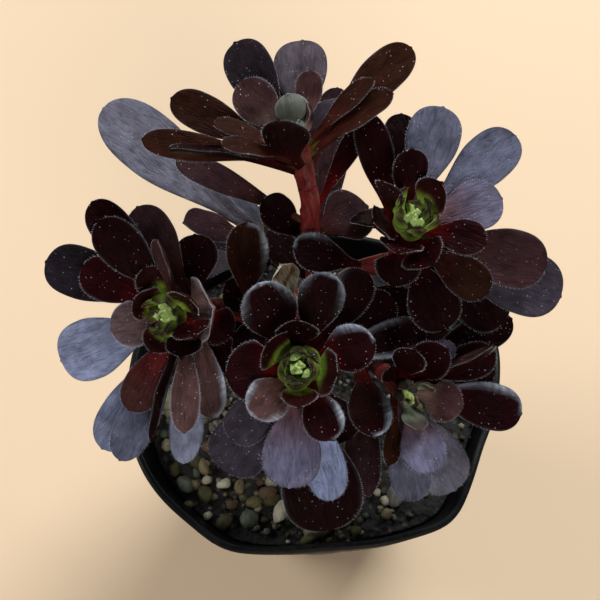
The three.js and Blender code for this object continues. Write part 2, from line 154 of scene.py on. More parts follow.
# %% One leaf
RINGS, ROUND = 34, 26  # rings along a leaf, and points round each of them
CROWDING, LAST = 1.7, 0.996  # the rings crowd towards the tip, and the last is just short of it
NECK, FOOT_WIDTH = 0.18, 0.25  # share of the length where the foot ends, and its share of the width
ROUNDEST, WIDEST = 0.56, 0.72  # share of the length where a round leaf and a slender one are widest
THICK, ABOVE, BELOW = 1.9, 0.35, 0.65  # mm at the foot, and the shares over and under the middle
THINNING, TIP_THINNING = 0.35, 0.45  # shares of the thickness lost along the leaf, and at its tip
DISH = 0.1  # rise of the edges, as a share of the width
LOPSIDED, WAVE, RIPPLE = 0.06, 0.02, 0.022  # shares of the width: uneven halves, waves, wavy edge
GROOVE, GROOVE_REACH = 0.16, 0.16  # depth in mm of the channel down the face, and its share across
POINT, POINT_REACH, CAP = 0.32, 0.35, 0.12  # mm: the tiny point, its half width, and its very end
MAP_STEP = 31.7  # mm between the maps of two leaves, so that each has a grain of its own


def leaf(root, tip, upward, width, roll, bow, seed):
    """Closed skin of one leaf, its own places, its map in millimetres, and its edges for the hairs.

    A place is the share along s, the share across u and the height w; round a ring by the angle a,
    u = cos a and w = sin a. The middle line bows by 4 * bow * s * (1 - s).
    half width = width / 2 * (foot + (1 - foot) * smooth(s from neck to widest)) * sqrt(1 - past^blunt),
    where past runs from 0 at the widest place to 1 at the tip, widest is 0.4 + 0.16 * length / width
    within its limits, and blunt runs from 2 on a leaf as wide as it is long to 2.8 on one twice as
    long. So the short leaves are round."""
    dice = np.random.default_rng(seed)
    along = np.asarray(tip, float) - root
    length = np.linalg.norm(along)
    along = along / length
    up = unit(upward - along * np.dot(upward, along))
    up = up * math.cos(math.radians(roll)) + np.cross(along, up) * math.sin(math.radians(roll))
    side = np.cross(up, along)
    t = np.linspace(0, 1, RINGS)[:, None]
    s = LAST * (1 - (1 - t) ** CROWDING)
    a = 2 * np.pi * np.arange(ROUND)[None, :] / ROUND
    u, w = np.cos(a) + 0 * s, np.sin(a) + 0 * s
    slender = length / width
    widest = min(WIDEST, max(ROUNDEST, 0.4 + 0.16 * slender))
    past = np.clip((s - widest) / (1 - widest), 0, 1)
    swell = FOOT_WIDTH + (1 - FOOT_WIDTH) * ramp(s, NECK, widest)
    blunt = 2 + 0.8 * min(1, max(0, slender - 1))
    lopsided = 1 + LOPSIDED * dice.uniform(-1, 1) * np.sign(u) * ramp(s, 0.2, 0.8)
    half = 0.5 * width * swell * np.sqrt(1 - past ** blunt) * lopsided
    across = half * u
    thick = THICK * (1 - THINNING * s) * (1 - TIP_THINNING * ramp(s, 0.8, 1))
    flesh = np.where(w > 0, ABOVE, BELOW) * thick * np.sign(w) * np.abs(w) ** 1.25
    phase = dice.uniform(0, 6.28, 4)
    wave = WAVE * width * np.sin(5 * s + phase[0]) * np.sin(2.2 * u + phase[1])
    ripple = RIPPLE * width * np.sin(17 * s + phase[2]) * np.abs(u) ** 3 * ramp(s, 0.3, 0.6)
    groove = -GROOVE * np.exp(-(u / GROOVE_REACH) ** 2) * (w > 0) * (1 - s)
    height = flesh + 2 * DISH * half * np.abs(u) ** 1.4 + wave * ramp(s, 0.1, 0.4) + ripple + groove
    height = height + 4 * bow * s * (1 - s)
    point = POINT * np.exp(-(across / POINT_REACH) ** 2) * ramp(s, 0.96, 1)
    reach = s * length + point
    grid = root + reach[..., None] * along + across[..., None] * side + height[..., None] * up
    ends = np.stack([grid[0].mean(0), grid[-1].mean(0) + along * CAP])
    places = np.stack([s + 0 * u, u, w], -1).reshape(-1, 3)
    places = np.concatenate([places, [[0, 0, 0], [1, 0, 0]]])
    own = MAP_STEP * seed
    run = np.stack([across, reach, own + 0 * u], -1).reshape(-1, 3)
    run = np.concatenate([run, [[0, 0, own], [0, length, own]]])
    rim = {"points": grid[:, [0, ROUND // 2]], "side": side, "along": along, "up": up, "s": s[:, 0]}
    return np.concatenate([grid.reshape(-1, 3), ends]), places, run, rim


LEAF_QUADS, LEAF_FANS = skin_faces(RINGS, ROUND)
print("points in one leaf:", RINGS * ROUND + 2)

# %% [markdown]
# The leaves differ more in colour than in shape. The young ones are green at the foot, most are wine
# red there and almost black outside, some carry a painted blue-grey sheen, the reflection of a cool
# sky painted into their colour, and the backs are bronze. A look names the colours of one such kind.
# They are worked out point by point along the leaf, so the change from red to black follows the blade.

# %% Leaf looks
# Colours of the face, foot, back and rim; the share where the foot's colour has faded; roughness;
# and how far the green of a young leaf runs.
Look = namedtuple("Look", "face foot back rim fade gloss green", defaults=[0])
LOOKS = {
    "ink": Look((0.0105, 0.0012, 0.0018), (0.045, 0.003, 0.004),
                (0.013, 0.004, 0.004), (0.10, 0.09, 0.10), 0.5, 0.42),
    "wine": Look((0.0145, 0.0014, 0.0022), (0.130, 0.005, 0.006),
                 (0.020, 0.006, 0.006), (0.12, 0.10, 0.11), 0.62, 0.42),
    "dusk": Look((0.018, 0.012, 0.016), (0.030, 0.006, 0.008),
                 (0.026, 0.012, 0.012), (0.06, 0.05, 0.06), 0.6, 0.45),
    "slate": Look((0.050, 0.040, 0.055), (0.022, 0.006, 0.008),
                  (0.028, 0.016, 0.016), (0.02, 0.015, 0.02), 0.6, 0.45),
    # The blue, lilac, storm and sky faces are painted reflection: the blue-grey sheen of a cool sky mirrored
    # in the dark wax.
    "blue": Look((0.118, 0.125, 0.185), (0.120, 0.060, 0.070),
                 (0.040, 0.020, 0.020), (0.012, 0.008, 0.012), 0.5, 0.5),
    "lilac": Look((0.165, 0.150, 0.220), (0.260, 0.100, 0.100),
                  (0.045, 0.022, 0.022), (0.02, 0.012, 0.02), 0.8, 0.5),
    "storm": Look((0.180, 0.180, 0.240), (0.110, 0.095, 0.110),
                  (0.060, 0.040, 0.040), (0.03, 0.03, 0.04), 0.6, 0.55),
    "grey": Look((0.098, 0.078, 0.094), (0.055, 0.022, 0.020),
                 (0.035, 0.016, 0.014), (0.03, 0.02, 0.03), 0.6, 0.5),
    "mauve": Look((0.040, 0.017, 0.019), (0.070, 0.018, 0.015),
                  (0.034, 0.014, 0.013), (0.16, 0.12, 0.13), 0.7, 0.45),
    "bronze": Look((0.026, 0.008, 0.004), (0.055, 0.010, 0.007),
                   (0.030, 0.010, 0.005), (0.12, 0.09, 0.09), 0.8, 0.45),
    "rust": Look((0.050, 0.016, 0.013), (0.130, 0.008, 0.008),
                 (0.040, 0.012, 0.010), (0.10, 0.07, 0.08), 0.9, 0.42),
    "pink": Look((0.110, 0.064, 0.066), (0.120, 0.060, 0.048),
                 (0.110, 0.055, 0.046), (0.50, 0.52, 0.58), 0.8, 0.5),
    "fawn": Look((0.082, 0.040, 0.036), (0.095, 0.040, 0.030),
                 (0.070, 0.032, 0.026), (0.50, 0.52, 0.58), 0.8, 0.5),
    "moss": Look((0.022, 0.004, 0.004), (0.090, 0.030, 0.010),
                 (0.022, 0.007, 0.006), (0.30, 0.26, 0.26), 0.75, 0.42, 0.69),
    "bud": Look((0.022, 0.005, 0.008), (0.26, 0.38, 0.05),
                (0.022, 0.006, 0.008), (0.10, 0.06, 0.07), 0.9, 0.4, 1.06),
    "sprout": Look((0.44, 0.55, 0.20), (0.36, 0.50, 0.12),
                   (0.34, 0.46, 0.13), (0.20, 0.20, 0.08), 0.95, 0.4, 0.9),
    "pearl": Look((0.24, 0.26, 0.24), (0.48, 0.54, 0.46),
                  (0.12, 0.13, 0.11), (0.45, 0.45, 0.45), 0.9, 0.4),
    "petal": Look((0.062, 0.026, 0.026), (0.330, 0.200, 0.150),
                  (0.040, 0.018, 0.016), (0.30, 0.26, 0.28), 0.65, 0.45),
    "sky": Look((0.215, 0.235, 0.350), (0.130, 0.065, 0.070),
                (0.040, 0.020, 0.020), (0.012, 0.008, 0.012), 0.5, 0.5),
    "olive": Look((0.060, 0.040, 0.034), (0.300, 0.380, 0.240),
                  (0.040, 0.030, 0.020), (0.30, 0.28, 0.26), 0.85, 0.42),
}
GREEN = (0.360, 0.540, 0.070)
# painted highlight: the pale blue-white of light glinting off a leaf's edge, laid into its colour
PAINTED_HIGHLIGHT = (0.66, 0.73, 0.84)
FADE_START = 0.12  # share of the length where the foot's colour starts to fade
TRACE = 0.15  # share of green at the very foot of an older leaf
PAINTED_HIGHLIGHT_REACH = 0.2  # spread of a pale patch along the leaf, as a share of its length
RIM_SHARE = 0.55  # share of the rim's colour at the edge


def leaf_colour(places, look, highlight_patches=()):
    """Colour and roughness at each place of a leaf.

    The foot's colour fades into the face's. Green covers both near the foot of a young leaf, and
    leaves a trace at the very foot of an older one. The back is dull, and the edge takes the rim's
    colour. Each painted highlight is (side, middle, strength), a pale patch of glinting light painted along
    one edge."""
    s, u, w = places.T
    face, foot, behind, edge_tone, fade, gloss, green = LOOKS[look]
    colour = blend(foot, face, ramp(s, FADE_START, fade))
    if green:
        colour = blend(GREEN, colour, ramp(s + 0.15 * np.abs(u), 0.55 * green, green))
    else:
        colour = blend(GREEN, colour, 1 - TRACE + TRACE * ramp(s, 0.02, 0.1))
    # painted highlights: each one brightens one edge towards the pale blue-white of glinting light
    for edge, middle, strength in highlight_patches:
        near_edge = ramp(edge * u, 0.55, 0.98) ** 1.4 + 0.8 * ramp(s, 0.95, 1.0) * ramp(edge * u, -0.4, 0.2)
        ragged = 0.75 + 0.25 * np.sin(46 * s + 7 * u + 4 * np.sin(17 * s))
        highlight_share = strength * near_edge * ragged * np.exp(-((s - middle) / PAINTED_HIGHLIGHT_REACH) ** 2)
        colour = blend(colour, PAINTED_HIGHLIGHT, np.clip(highlight_share, 0, 1))
    back = blend(blend(behind, foot, 0.6), behind, ramp(s, 0.1, 0.6))
    if green:
        back = blend(GREEN, back, ramp(s, 0.4 * green, green))
    colour = blend(back, colour, ramp(w, -0.25, 0.05))
    rim = ramp(np.abs(u), 0.955, 0.995) * ramp(s, 0.3, 0.5) * RIM_SHARE
    return blend(colour, edge_tone, rim), np.full(len(s), gloss)


print("looks:", ", ".join(LOOKS))

# %% [markdown]
# Five rosettes make the crown, and a sixth looks out behind them. On a real plant each has its own
# age and light, so a pattern repeated six times would look planted by a machine. Each leaf is a row
# of its own instead: how far below the heart it grows; x, y and z from the heart to its tip; width,
# roll and bow; its look; and any painted highlights, pale patches at its edge where light glints.

# %% The rosettes
# heart: its place. axis: the way it faces. core: mm from the heart down to the branch. via: places
# that its branch passes. All are in the crown's frame.
HEADS = {
    "centre": dict(
        heart=(-3.7, 10.7, 44), axis=(0, 0.02, 1), core=11, via=[(-2.6, 21, 20), (-3.2, 19, 26)],
        leaves=[
            (2, -0.2, 8.9, 6, 8, 0, -1.2, "ink"),
            (2, -5.7, 4.6, 5, 9, 0, -1, "moss"),
            (2, 7.4, -1, 5, 9, 0, -1, "moss"),
            (2, 0.2, -7, 4.5, 7, 0, -1, "moss"),
            (3, -8.7, -8.9, 2.5, 8.5, 0, 0.5, "fawn", (1, 0.85, 0.5), (-1, 0.85, 0.8)),
            (4, -13.6, -1.5, 1, 12, 0, 0.5, "wine"),
            (5, -1.7, -23.2, -1, 11.2, 0, 1, "lilac"),
            (4, 6.7, -13.5, 2, 7.8, 0, 0.5, "wine", (1, 0.8, 0.9)),
            (7, 6.7, -26.4, -5, 8.2, 0, 1, "sky"),
            (10, 5.8, -34.2, -12, 16, 0, 1.5, "ink"),
            (6, -12.8, -14.4, -3, 8.5, 0, 1, "slate"),
            (10, -15, -22, -12, 12.5, 0, 1, "slate"),
            (4, -7.6, 15.8, 1, 10.5, 0, 0.5, "ink", (-1, 1, 0.6), (1, 1, 0.4)),
            (5, 6.1, 17.7, 0, 8.8, 0, 0.5, "ink", (1, 1, 0.4), (-1, 1, 0.6)),
            (4, 14.4, 5.1, 1, 9.2, 0, 0.5, "wine", (1, 0.85, 0.8)),
            (8, 13.3, 18.2, -5, 8.5, 0, 1, "ink", (1, 0.6, 0.5)),
            (9, 25.7, 6.7, -10, 7.5, 0, 1, "ink", (1, 0.6, 0.4), (-1, 0.6, 0.5)),
            (10, -13, 5.5, -13, 9, 0, 0.5, "ink"),
            (10, 10.5, -16, -15, 9, 0, 0.5, "ink"),
            (9, 19, 13, -10, 9, 0, 0.5, "ink"),
        ],
        buds=[
            (1, 0, 3.2, 4, 3.6, 0, -0.6, "bud"),
            (1, -2.9, -0.5, 4, 3.6, 0, -0.6, "bud"),
            (1, 2.8, -0.6, 4, 3.6, 0, -0.6, "bud"),
            (1, 0, -2.9, 3.5, 3.6, 0, -0.6, "bud"),
        ],
    ),
    "left": dict(
        heart=(-30.2, 20.4, 36), axis=(-0.6, -0.1, 0.78), core=12, via=[(-10, 19, 20)],
        leaves=[
            (5, -14.5, 22.5, 0, 8.4, 30, 0.5, "ink"),
            (4, -11.9, 18.4, 5, 9, 35, 0.5, "ink"),
            (5, -25.1, 10.8, -5, 10.6, 24, 1, "dusk"),
            (3, -16.7, 9.4, -1, 8.8, 25, 0.5, "wine"),
            (2, -3.8, 9.3, 2, 7, 40, -0.6, "moss"),
            (1.5, -5.6, 3, 3, 8, 20, -0.6, "moss"),
            (2.5, -10.9, -3, -1, 9.4, 0, 0, "pink"),
            (5, -22.4, -9.6, -7, 12.6, -10, 1, "sky"),
            (1.5, -2.4, -7, 2.4, 7, -40, -0.6, "moss"),
            (5, -7.3, -19, -1, 8, -30, 0.5, "rust"),
            (7, -14.2, -27.9, -8, 9.5, -25, 1, "sky"),
            (7, -9.6, -29.4, -3, 8, -40, 1, "blue"),
            (6, -2.6, -24.9, 1, 6.5, 50, 1, "ink"),
            (6, 4.3, -22.7, 4, 5.8, -45, 1, "fawn"),
            (8, 3.4, -29.8, -2, 6.8, -45, 1, "sky"),
            (4, 7, -4, 9, 8, -60, -0.5, "wine"),
            (9, 9.7, -20.3, 1, 6.8, -45, 1, "fawn", (1, 0.8, 0.9)),
            (9, -5.9, 21.7, -2, 9, 40, 0.5, "mauve"),
            (3, -0.5, 14.3, 7, 5.5, -15, 0, "mauve"),
            (6, -13.8, 14.6, -5, 8, 30, 1, "slate"),
            (2, 5.8, 3.4, 10, 7, 38, -0.5, "moss"),
            (9, -9, 0, -19, 9, 0, 0.5, "dusk"),
            (10, 3, 11, -15, 8, 30, 0.5, "ink"),
            (11, 11, -12, -8, 9, -43, 0.5, "wine"),
            (5, 4, -8, 6, 7, -60, -0.5, "ink"),
            (9, 13, -4, -5, 8.5, -26, 0.5, "wine"),
            (10, 4.9, 16.6, -9, 9, 45, 0.5, "ink"),
            (4, 9.9, 1.5, 4, 13, 0, -0.5, "pink", (-1, 0.95, 0.9), (1, 0.95, 0.9)),
        ],
        buds=[
            (1, -3.5, 2, 3.5, 4, 0, -0.6, "bud"),
            (1, 1, 3.2, 4.5, 3.4, 0, -0.6, "bud"),
            (1, 1, -3, 4.5, 3.4, 0, -0.6, "bud"),
            (1, -1.5, -3.4, 3.5, 3.4, 0, -0.6, "bud"),
        ],
    ),
    "top": dict(
        heart=(-4.3, 56.7, 41), axis=(-0.2, 0.88, 0.41), core=12, via=[(0, 28, 18), (-1.4, 38, 28)],
        leaves=[
            (4, -12, 17.8, -5, 9.6, -38, 0.5, "dusk"),
            (3, -10.5, 8.5, 1, 8.4, -60, 0, "petal"),
            (4, 1.4, 18.2, -5, 10.6, 20, 0.5, "grey"),
            (2, 3.1, 10.7, 1, 5.8, 30, -0.5, "petal"),
            (7, -3.3, -0.5, 8, 9.5, 0, -0.5, "ink"),
            (5, 22.7, 16, -2, 8.4, 55, 0.5, "bronze"),
            (4, 15, 9.3, 0, 5, 30, 0.5, "bronze"),
            (6, 18.7, 6.5, 1, 7, 30, 0.5, "bronze"),
            (6, -24.2, 6.1, -2, 7.6, -60, 0.5, "bronze"),
            (7, -29.7, -2.1, -1, 6, -60, 0.5, "bronze"),
            (8, -23.3, -5.2, 6, 7, 0, 1, "ink"),
            (6, -13.2, -5.2, 9, 6, -30, 0.5, "bronze"),
            (5, -15.4, 0.2, 3, 5, -30, 0.5, "bronze"),
            (5, 9.7, 7, -6, 9, 0, 0.5, "slate"),
            (4, -5.3, 11.3, -4, 5, 0, 0.5, "ink"),
            (9, 8, 4, -6, 8, 0, 0.5, "mauve"),
            (6, -12, 4, -18, 8.5, 0, 0.5, "ink"),
            (6, 3, 9, -20, 9, 0, 0.5, "dusk"),
            (8, -2, 12, -15, 8, 0, 0.5, "ink"),
        ],
        buds=[
            (1, -1.3, 6.1, 1.4, 6.8, 0, -1, "pearl", (-1, 0.8, 0.7)),
            (1, 2.4, 4.2, 1, 4, 0, -0.5, "petal"),
        ],
    ),
    "right": dict(
        heart=(18.3, 39.5, 41), axis=(0.13, 0.5, 0.86), core=12, via=[(3.5, 24, 18), (9, 29.5, 25)],
        leaves=[
            (10, -8.9, 20.3, -2, 7.4, -10, 0.5, "wine"),
            (6, -1.2, 21.5, -8, 8, 0, 0.5, "ink"),
            (4, 6.5, 21.8, -3, 10.6, 0, 0.5, "blue"),
            (5, 21, 16.3, -4, 10, 15, 0.5, "blue"),
            (4, 17.6, 3.6, -1, 10, 20, 0.5, "lilac"),
            (3, -0.4, 12.5, 3, 7.2, 0, -0.5, "wine"),
            (2, 5, 6, 4, 8, 0, -0.5, "moss"),
            (3, 13.6, -5.4, 3, 7.2, 20, 0.5, "wine"),
            (3, -6.2, 6.2, 5, 6, 75, 0, "wine"),
            (4, -7.8, -1, 4, 8, 0, -0.5, "wine"),
            (5, 3.5, -9.3, 4, 9, 30, -0.5, "wine"),
            (6, 15.3, -14.8, -3, 8, 36, 1, "bronze"),
            (8, 7.4, -21.9, -6, 10.5, 25, 1, "ink"),
            (6, 27, -9.4, -4, 11.4, 35, 1, "mauve"),
            (8, 31.4, -15.4, -9, 13, 35, 1, "slate"),
            (9, 20.2, -20.4, -10, 10.5, 35, 1, "ink"),
            (8, -9, 2, -17, 8, 0, 0.5, "ink"),
            (8, 4, 7, -19, 9, 0, 0.5, "dusk"),
            (9, 16, 0, -15, 9, 0, 0.5, "ink"),
            (8, 12.5, -17.5, -9, 9, 36, 0.5, "ink"),
            (8, -3.4, -13.4, -3, 9, 6, 0.5, "ink"),
            (4, -3.2, -7.2, 5, 8.5, 10, -0.5, "wine"),
        ],
        buds=[
            (1, -2.3, 4.7, 4, 4, 0, -0.6, "bud"),
            (1, 4.4, -1, 4, 4, 0, -0.6, "bud"),
            (1, 1, -3, 4, 4, 0, -0.6, "bud"),
            (1, -2.6, -0.8, 4.4, 3.4, 0, -0.6, "bud"),
        ],
    ),
    "low": dict(
        heart=(18.8, 3.9, 34), axis=(0.4, -0.4, 0.82), core=11, via=[(7, 12, 17)],
        leaves=[
            (2, 9.9, -1.8, 3, 8.4, -30, 0, "petal"),
            (5, 23.6, -4, -5, 9.6, -24, 0.5, "wine", (1, 0.45, 0.8), (1, 0.85, 0.7)),
            (3, 4.4, -14.8, 1, 9, 20, 0.5, "lilac"),
            (6, 1.2, -21.8, -4, 8.4, 25, 1, "blue"),
            (9, 10.8, -20.8, -10, 12, 10, 1, "storm"),
            (5, 17.5, 8.6, -2, 7.5, -35, 0.5, "wine"),
            (6, 18.1, 4.2, -6, 7, -40, 0.5, "ink"),
            (4, 15.8, 10.5, 5, 7, 40, 0.5, "ink"),
            (8, 21.8, 15.6, -6, 8, -40, 0.5, "ink"),
            (5, -4.4, -13.7, 0, 4.8, 0, 0.5, "bronze"),
            (5, 8.6, 10.5, 1, 5, -40, 0.5, "slate"),
            (8, 8, 6, -16, 8, 0, 0.5, "ink"),
            (8, -1, 12, -13, 7, 0, 0.5, "ink"),
            (4, -4, 6.5, 3, 6, -13, 0, "ink"),
            (4, -0.4, 10.1, 11, 6.5, -50, 0, "ink"),
            (5, 6.8, 9.7, 4, 8, -50, 0.5, "wine"),
        ],
        buds=[
            (1, 1.4, -6.2, 3, 5.8, 0, -0.6, "olive"),
            (1, 4.2, 2, 3, 3.6, 0, -0.6, "olive"),
        ],
    ),
    "back": dict(
        heart=(-12, 37.9, 11), axis=(-0.55, 0.45, 0.7), core=8, via=[(-6, 26, 8)],
        leaves=[
            (4, -34.5, 27.5, 7, 14, 0, 1, "storm"),
            (4, -16.6, 2.5, 8, 10, 0, 0.5, "mauve"),
            (5, -9.4, 11.4, -3, 9, 10, 0.5, "storm"),
            (5, -17.5, -9, 0, 9, 0, 0.5, "grey"),
            (5, -4, 6, -18, 9, 0, 0.5, "dusk"),
            (5, 6, 2, -16, 9, 0, 0.5, "dusk"),
            (6, -14, -2, -12, 10, 0, 0.5, "dusk"),
        ],
        buds=[
            (1, -3, 1, 4, 3.6, 0, -0.6, "bud"),
            (1, 1, 2, 5, 3.6, 0, -0.6, "bud"),
        ],
    ),
}
print("leaves:", sum(len(head["leaves"]) for head in HEADS.values()))

# %% Leaves of one rosette
FOOT_RING = 1.6  # mm from the core's middle to a leaf's foot, and less for a tiny leaf
LEAST_SHADE, MOST_SHADE, TINT = 0.82, 1.18, 0.05  # how far one leaf's colour strays from its look's


def head_leaf(head, row, seed):
    """The leaf of one row: its foot sits under the heart, on the side that it leans to."""
    drop, x, y, z, width, roll, bow = row[:7]
    heart, axis = crown_point(head["heart"]), crown_direction(head["axis"])
    reach = TURN @ np.array([x, y, z], float)
    outward = unit(reach - axis * np.dot(reach, axis))
    root = heart - axis * drop + outward * min(FOOT_RING, 0.4 * np.linalg.norm(reach))
    return leaf(root, heart + reach, axis, width, roll, bow, seed)


def gather(name, made):
    """One object from many leaves; made holds (points, places, run, rim, look, painted highlights) for each.
    """
    points, colours, maps, gloss, quads, fans = [], [], [], [], [], []
    dice = np.random.default_rng(len(made))
    for at, (skin, places, run, rim, look, painted_highlights) in enumerate(made):
        colour, rough = leaf_colour(places, look, painted_highlights)
        shade = dice.uniform(LEAST_SHADE, MOST_SHADE)
        colour = colour * shade * (1 + dice.uniform(-TINT, TINT) * np.array([1, 0, -1]))
        points.append(skin)
        colours.append(colour)
        gloss.append(rough)
        maps.append(run)
        quads.append(LEAF_QUADS + at * len(skin))
        fans.append(LEAF_FANS + at * len(skin))
    faces = [np.concatenate(quads), np.concatenate(fans)]
    return add_mesh(name, np.concatenate(points), faces, np.concatenate(colours), np.concatenate(maps),
                    np.concatenate(gloss))


print("rosette helpers ready")

# %% [markdown]
# The edge of an aeonium leaf is set with short white hairs. They are what draws the pale line round
# each dark leaf. Real hair systems are lost when a model is exported, and a texture of hairs has no
# depth, so each hair is a tiny spike of four faces, and thousands of them are worked out at once.

# %% The hairs on the leaf edges
BARE_FOOT = 0.3  # the first share of a leaf's length has no hairs
LEAN_OUT, SCATTER, SINK = 0.35, 0.18, 0.1  # lean to the tip, spread of the ways, and mm under the skin


def fringe(rims, seed, spacing=0.42, longest=0.46, radius=0.038):
    """Points and faces of spikes along the leaf edges; spacing, length and radius are in mm.

    Each stands on the edge, points away from the blade and leans a little to the tip; its foot is a
    triangle of three points and its end one point."""
    dice = np.random.default_rng(seed)
    feet, ways, ups = [], [], []
    for rim in rims:
        for edge, sign in ((0, 1), (1, -1)):
            line = rim["points"][rim["s"] > BARE_FOOT, edge]
            run = np.concatenate([[0], np.cumsum(np.linalg.norm(np.diff(line, axis=0), axis=1))])
            count = max(2, int(run[-1] / spacing))
            at = np.linspace(0.2, run[-1], count) + dice.uniform(-0.12, 0.12, count)
            foot = np.stack([np.interp(at, run, line[:, k]) for k in range(3)], -1)
            ahead = np.stack([np.interp(at + 0.2, run, line[:, k]) for k in range(3)], -1)
            tangent = unit(ahead - foot + 1e-6 * rim["along"])
            out = sign * rim["side"] * np.abs(tangent @ rim["along"])[:, None]
            out = out + rim["along"] * (np.abs(tangent @ rim["side"])[:, None] + LEAN_OUT)
            feet.append(foot)
            ways.append(unit(out + dice.normal(0, SCATTER, (count, 3))))
            ups.append(np.repeat(rim["up"][None], count, 0))
    foot, way, up = np.concatenate(feet), np.concatenate(ways), np.concatenate(ups)
    cross = unit(np.cross(way, up))
    level = np.cross(cross, way)
    size = longest * dice.uniform(0.55, 1.0, (len(foot), 1))
    turns = 2 * np.pi * np.arange(3) / 3
    base = foot - SINK * way
    ring = [base + radius * (math.cos(k) * cross + math.sin(k) * level) for k in turns]
    points = np.stack([*ring, foot + way * size], 1)
    faces = np.array([[0, 1, 3], [1, 2, 3], [2, 0, 3], [2, 1, 0]])
    faces = (faces[None] + 4 * np.arange(len(foot))[:, None, None]).reshape(-1, 3)
    return points.reshape(-1, 3), [faces]


print("fringe ready")

# %% [markdown]
# One group of nodes makes the fine grain of every skin of the plant. It reads the map in millimetres,
# so the wrinkles run along the leaf. It gives a tone that varies, the white specks of dried water
# drops, a share for painted shade in the hollows of the grain, and a height for the bump. A group
# keeps the same grain on every material, and each material sets its own amounts.

# %% Node helpers
def new_group(name, inputs, outputs):
    """An empty shader group with the named sockets, its input node and its output node."""
    group = bpy.data.node_groups.new(name, "ShaderNodeTree")
    for label, kind, value in inputs:
        held = group.interface.new_socket(label, in_out="INPUT", socket_type=kind)
        if value is not None:
            held.default_value = value
    for label, kind in outputs:
        group.interface.new_socket(label, in_out="OUTPUT", socket_type=kind)
    return group, group.nodes.new("NodeGroupInput"), group.nodes.new("NodeGroupOutput")


def add_node(tree, kind, settings=(), **values):
    """A node with its settings, and its inputs set or linked: by name, or by number as _0, _1."""
    made = tree.nodes.new(kind)
    for key, value in dict(settings).items():
        setattr(made, key, value)
    for key, value in values.items():
        socket = made.inputs[int(key[1:])] if key[0] == "_" else made.inputs[key]
        if isinstance(value, bpy.types.NodeSocket):
            tree.links.new(value, socket)
        else:
            socket.default_value = value
    return made


def maths(tree, operation, *values):
    """The result of one Math node."""
    inputs = {f"_{i}": value for i, value in enumerate(values)}
    return add_node(tree, "ShaderNodeMath", dict(operation=operation), **inputs).outputs[0]


def spread(tree, value, low, high, out_low=0.0, out_high=1.0):
    """The value carried from one range to another, held inside it."""
    made = add_node(tree, "ShaderNodeMapRange", _0=value, _1=low, _2=high, _3=out_low, _4=out_high)
    return made.outputs[0]


def mix_colours(tree, share, first, second):
    """Two colours mixed by a share; a Mix node keeps its colours in sockets 6 and 7."""
    made = add_node(tree, "ShaderNodeMix", dict(data_type="RGBA"), _0=share, _6=first, _7=second)
    return made.outputs[2]


def new_material(name):
    """A material, its tree of nodes and its Principled shader."""
    material = bpy.data.materials.new(name)
    material.use_nodes = True
    return material, material.node_tree, material.node_tree.nodes["Principled BSDF"]


def object_place(tree):
    """The place of a point on its own object, in metres."""
    return add_node(tree, "ShaderNodeTexCoord").outputs["Object"]


print("node helpers ready")

# %% The grain group
GRAIN, inside, out = new_group(
    "leaf grain",
    [("Map", "NodeSocketVector", None), ("Speck Share", "NodeSocketFloat", 0.35)],
    [("Tone", "NodeSocketFloat"), ("Crease Shade", "NodeSocketFloat"), ("Specks", "NodeSocketFloat"),
     ("Height", "NodeSocketFloat")],
)
place_map = inside.outputs["Map"]
long_way = add_node(GRAIN, "ShaderNodeMapping", Vector=place_map, Scale=(1.0, 0.22, 1.0)).outputs[0]
broad = add_node(GRAIN, "ShaderNodeTexNoise", Vector=place_map, Scale=0.33, Detail=3.0).outputs[0]
streak = add_node(GRAIN, "ShaderNodeTexNoise", Vector=long_way, Scale=1.2, Detail=6.0,
                  Distortion=1.2).outputs[0]
fine = add_node(GRAIN, "ShaderNodeTexNoise", Vector=place_map, Scale=3.2, Detail=3.0).outputs[0]
drops = add_node(GRAIN, "ShaderNodeTexVoronoi", Vector=place_map, Scale=1.35)
picked = add_node(GRAIN, "ShaderNodeSeparateColor", _0=drops.outputs["Color"])
size = spread(GRAIN, picked.outputs[1], 0.0, 1.0, 0.05, 0.14)
dot = maths(GRAIN, "LESS_THAN", drops.outputs["Distance"], size)
crowd = spread(GRAIN, broad, 0.38, 0.62, 0.1, 2.2)
limit = maths(GRAIN, "MULTIPLY", crowd, inside.outputs["Speck Share"])
chosen = maths(GRAIN, "LESS_THAN", picked.outputs[0], limit)
specks = maths(GRAIN, "MULTIPLY", dot, chosen)
tone = maths(GRAIN, "ADD", maths(GRAIN, "MULTIPLY", broad, 0.6), maths(GRAIN, "MULTIPLY", streak, 0.4))
bent = add_node(GRAIN, "ShaderNodeTexNoise", Vector=long_way, Scale=0.5, Detail=2.0,
                Distortion=1.5).outputs[0]
fold = maths(GRAIN, "ABSOLUTE", maths(GRAIN, "SUBTRACT", bent, 0.5))
wrinkle = spread(GRAIN, fold, 0.0, 0.05, 0.7, 0.0)
# painted shade: this share marks the low streaks and fold lines, the hollows of the bump, for darkening
crease_shade = maths(GRAIN, "MAXIMUM", spread(GRAIN, streak, 0.34, 0.46, 1.0, 0.0), wrinkle)
height = maths(GRAIN, "ADD", streak, maths(GRAIN, "MULTIPLY", fine, 0.35))
height = maths(GRAIN, "ADD", height, maths(GRAIN, "MULTIPLY", specks, 0.4))
height = maths(GRAIN, "SUBTRACT", height, maths(GRAIN, "MULTIPLY", wrinkle, 0.45))
for label, value in (("Tone", tone), ("Crease Shade", crease_shade), ("Specks", specks), ("Height", height)):
    GRAIN.links.new(value, out.inputs[label])
print("group:", GRAIN.name, len(GRAIN.nodes), "nodes")


# %% [markdown]
# A living leaf is waxy: it mirrors little and its tone is never even. The colours are already on the
# points, so the material only has to vary them, darken their creases with painted shade, lay specks over them
# and roughen the light. One function does that for every piece of the plant, and for the stones, which take
# other amounts.

# %% The leaf material
SPECK, SPECK_STRENGTH = (0.62, 0.60, 0.64, 1), 0.85


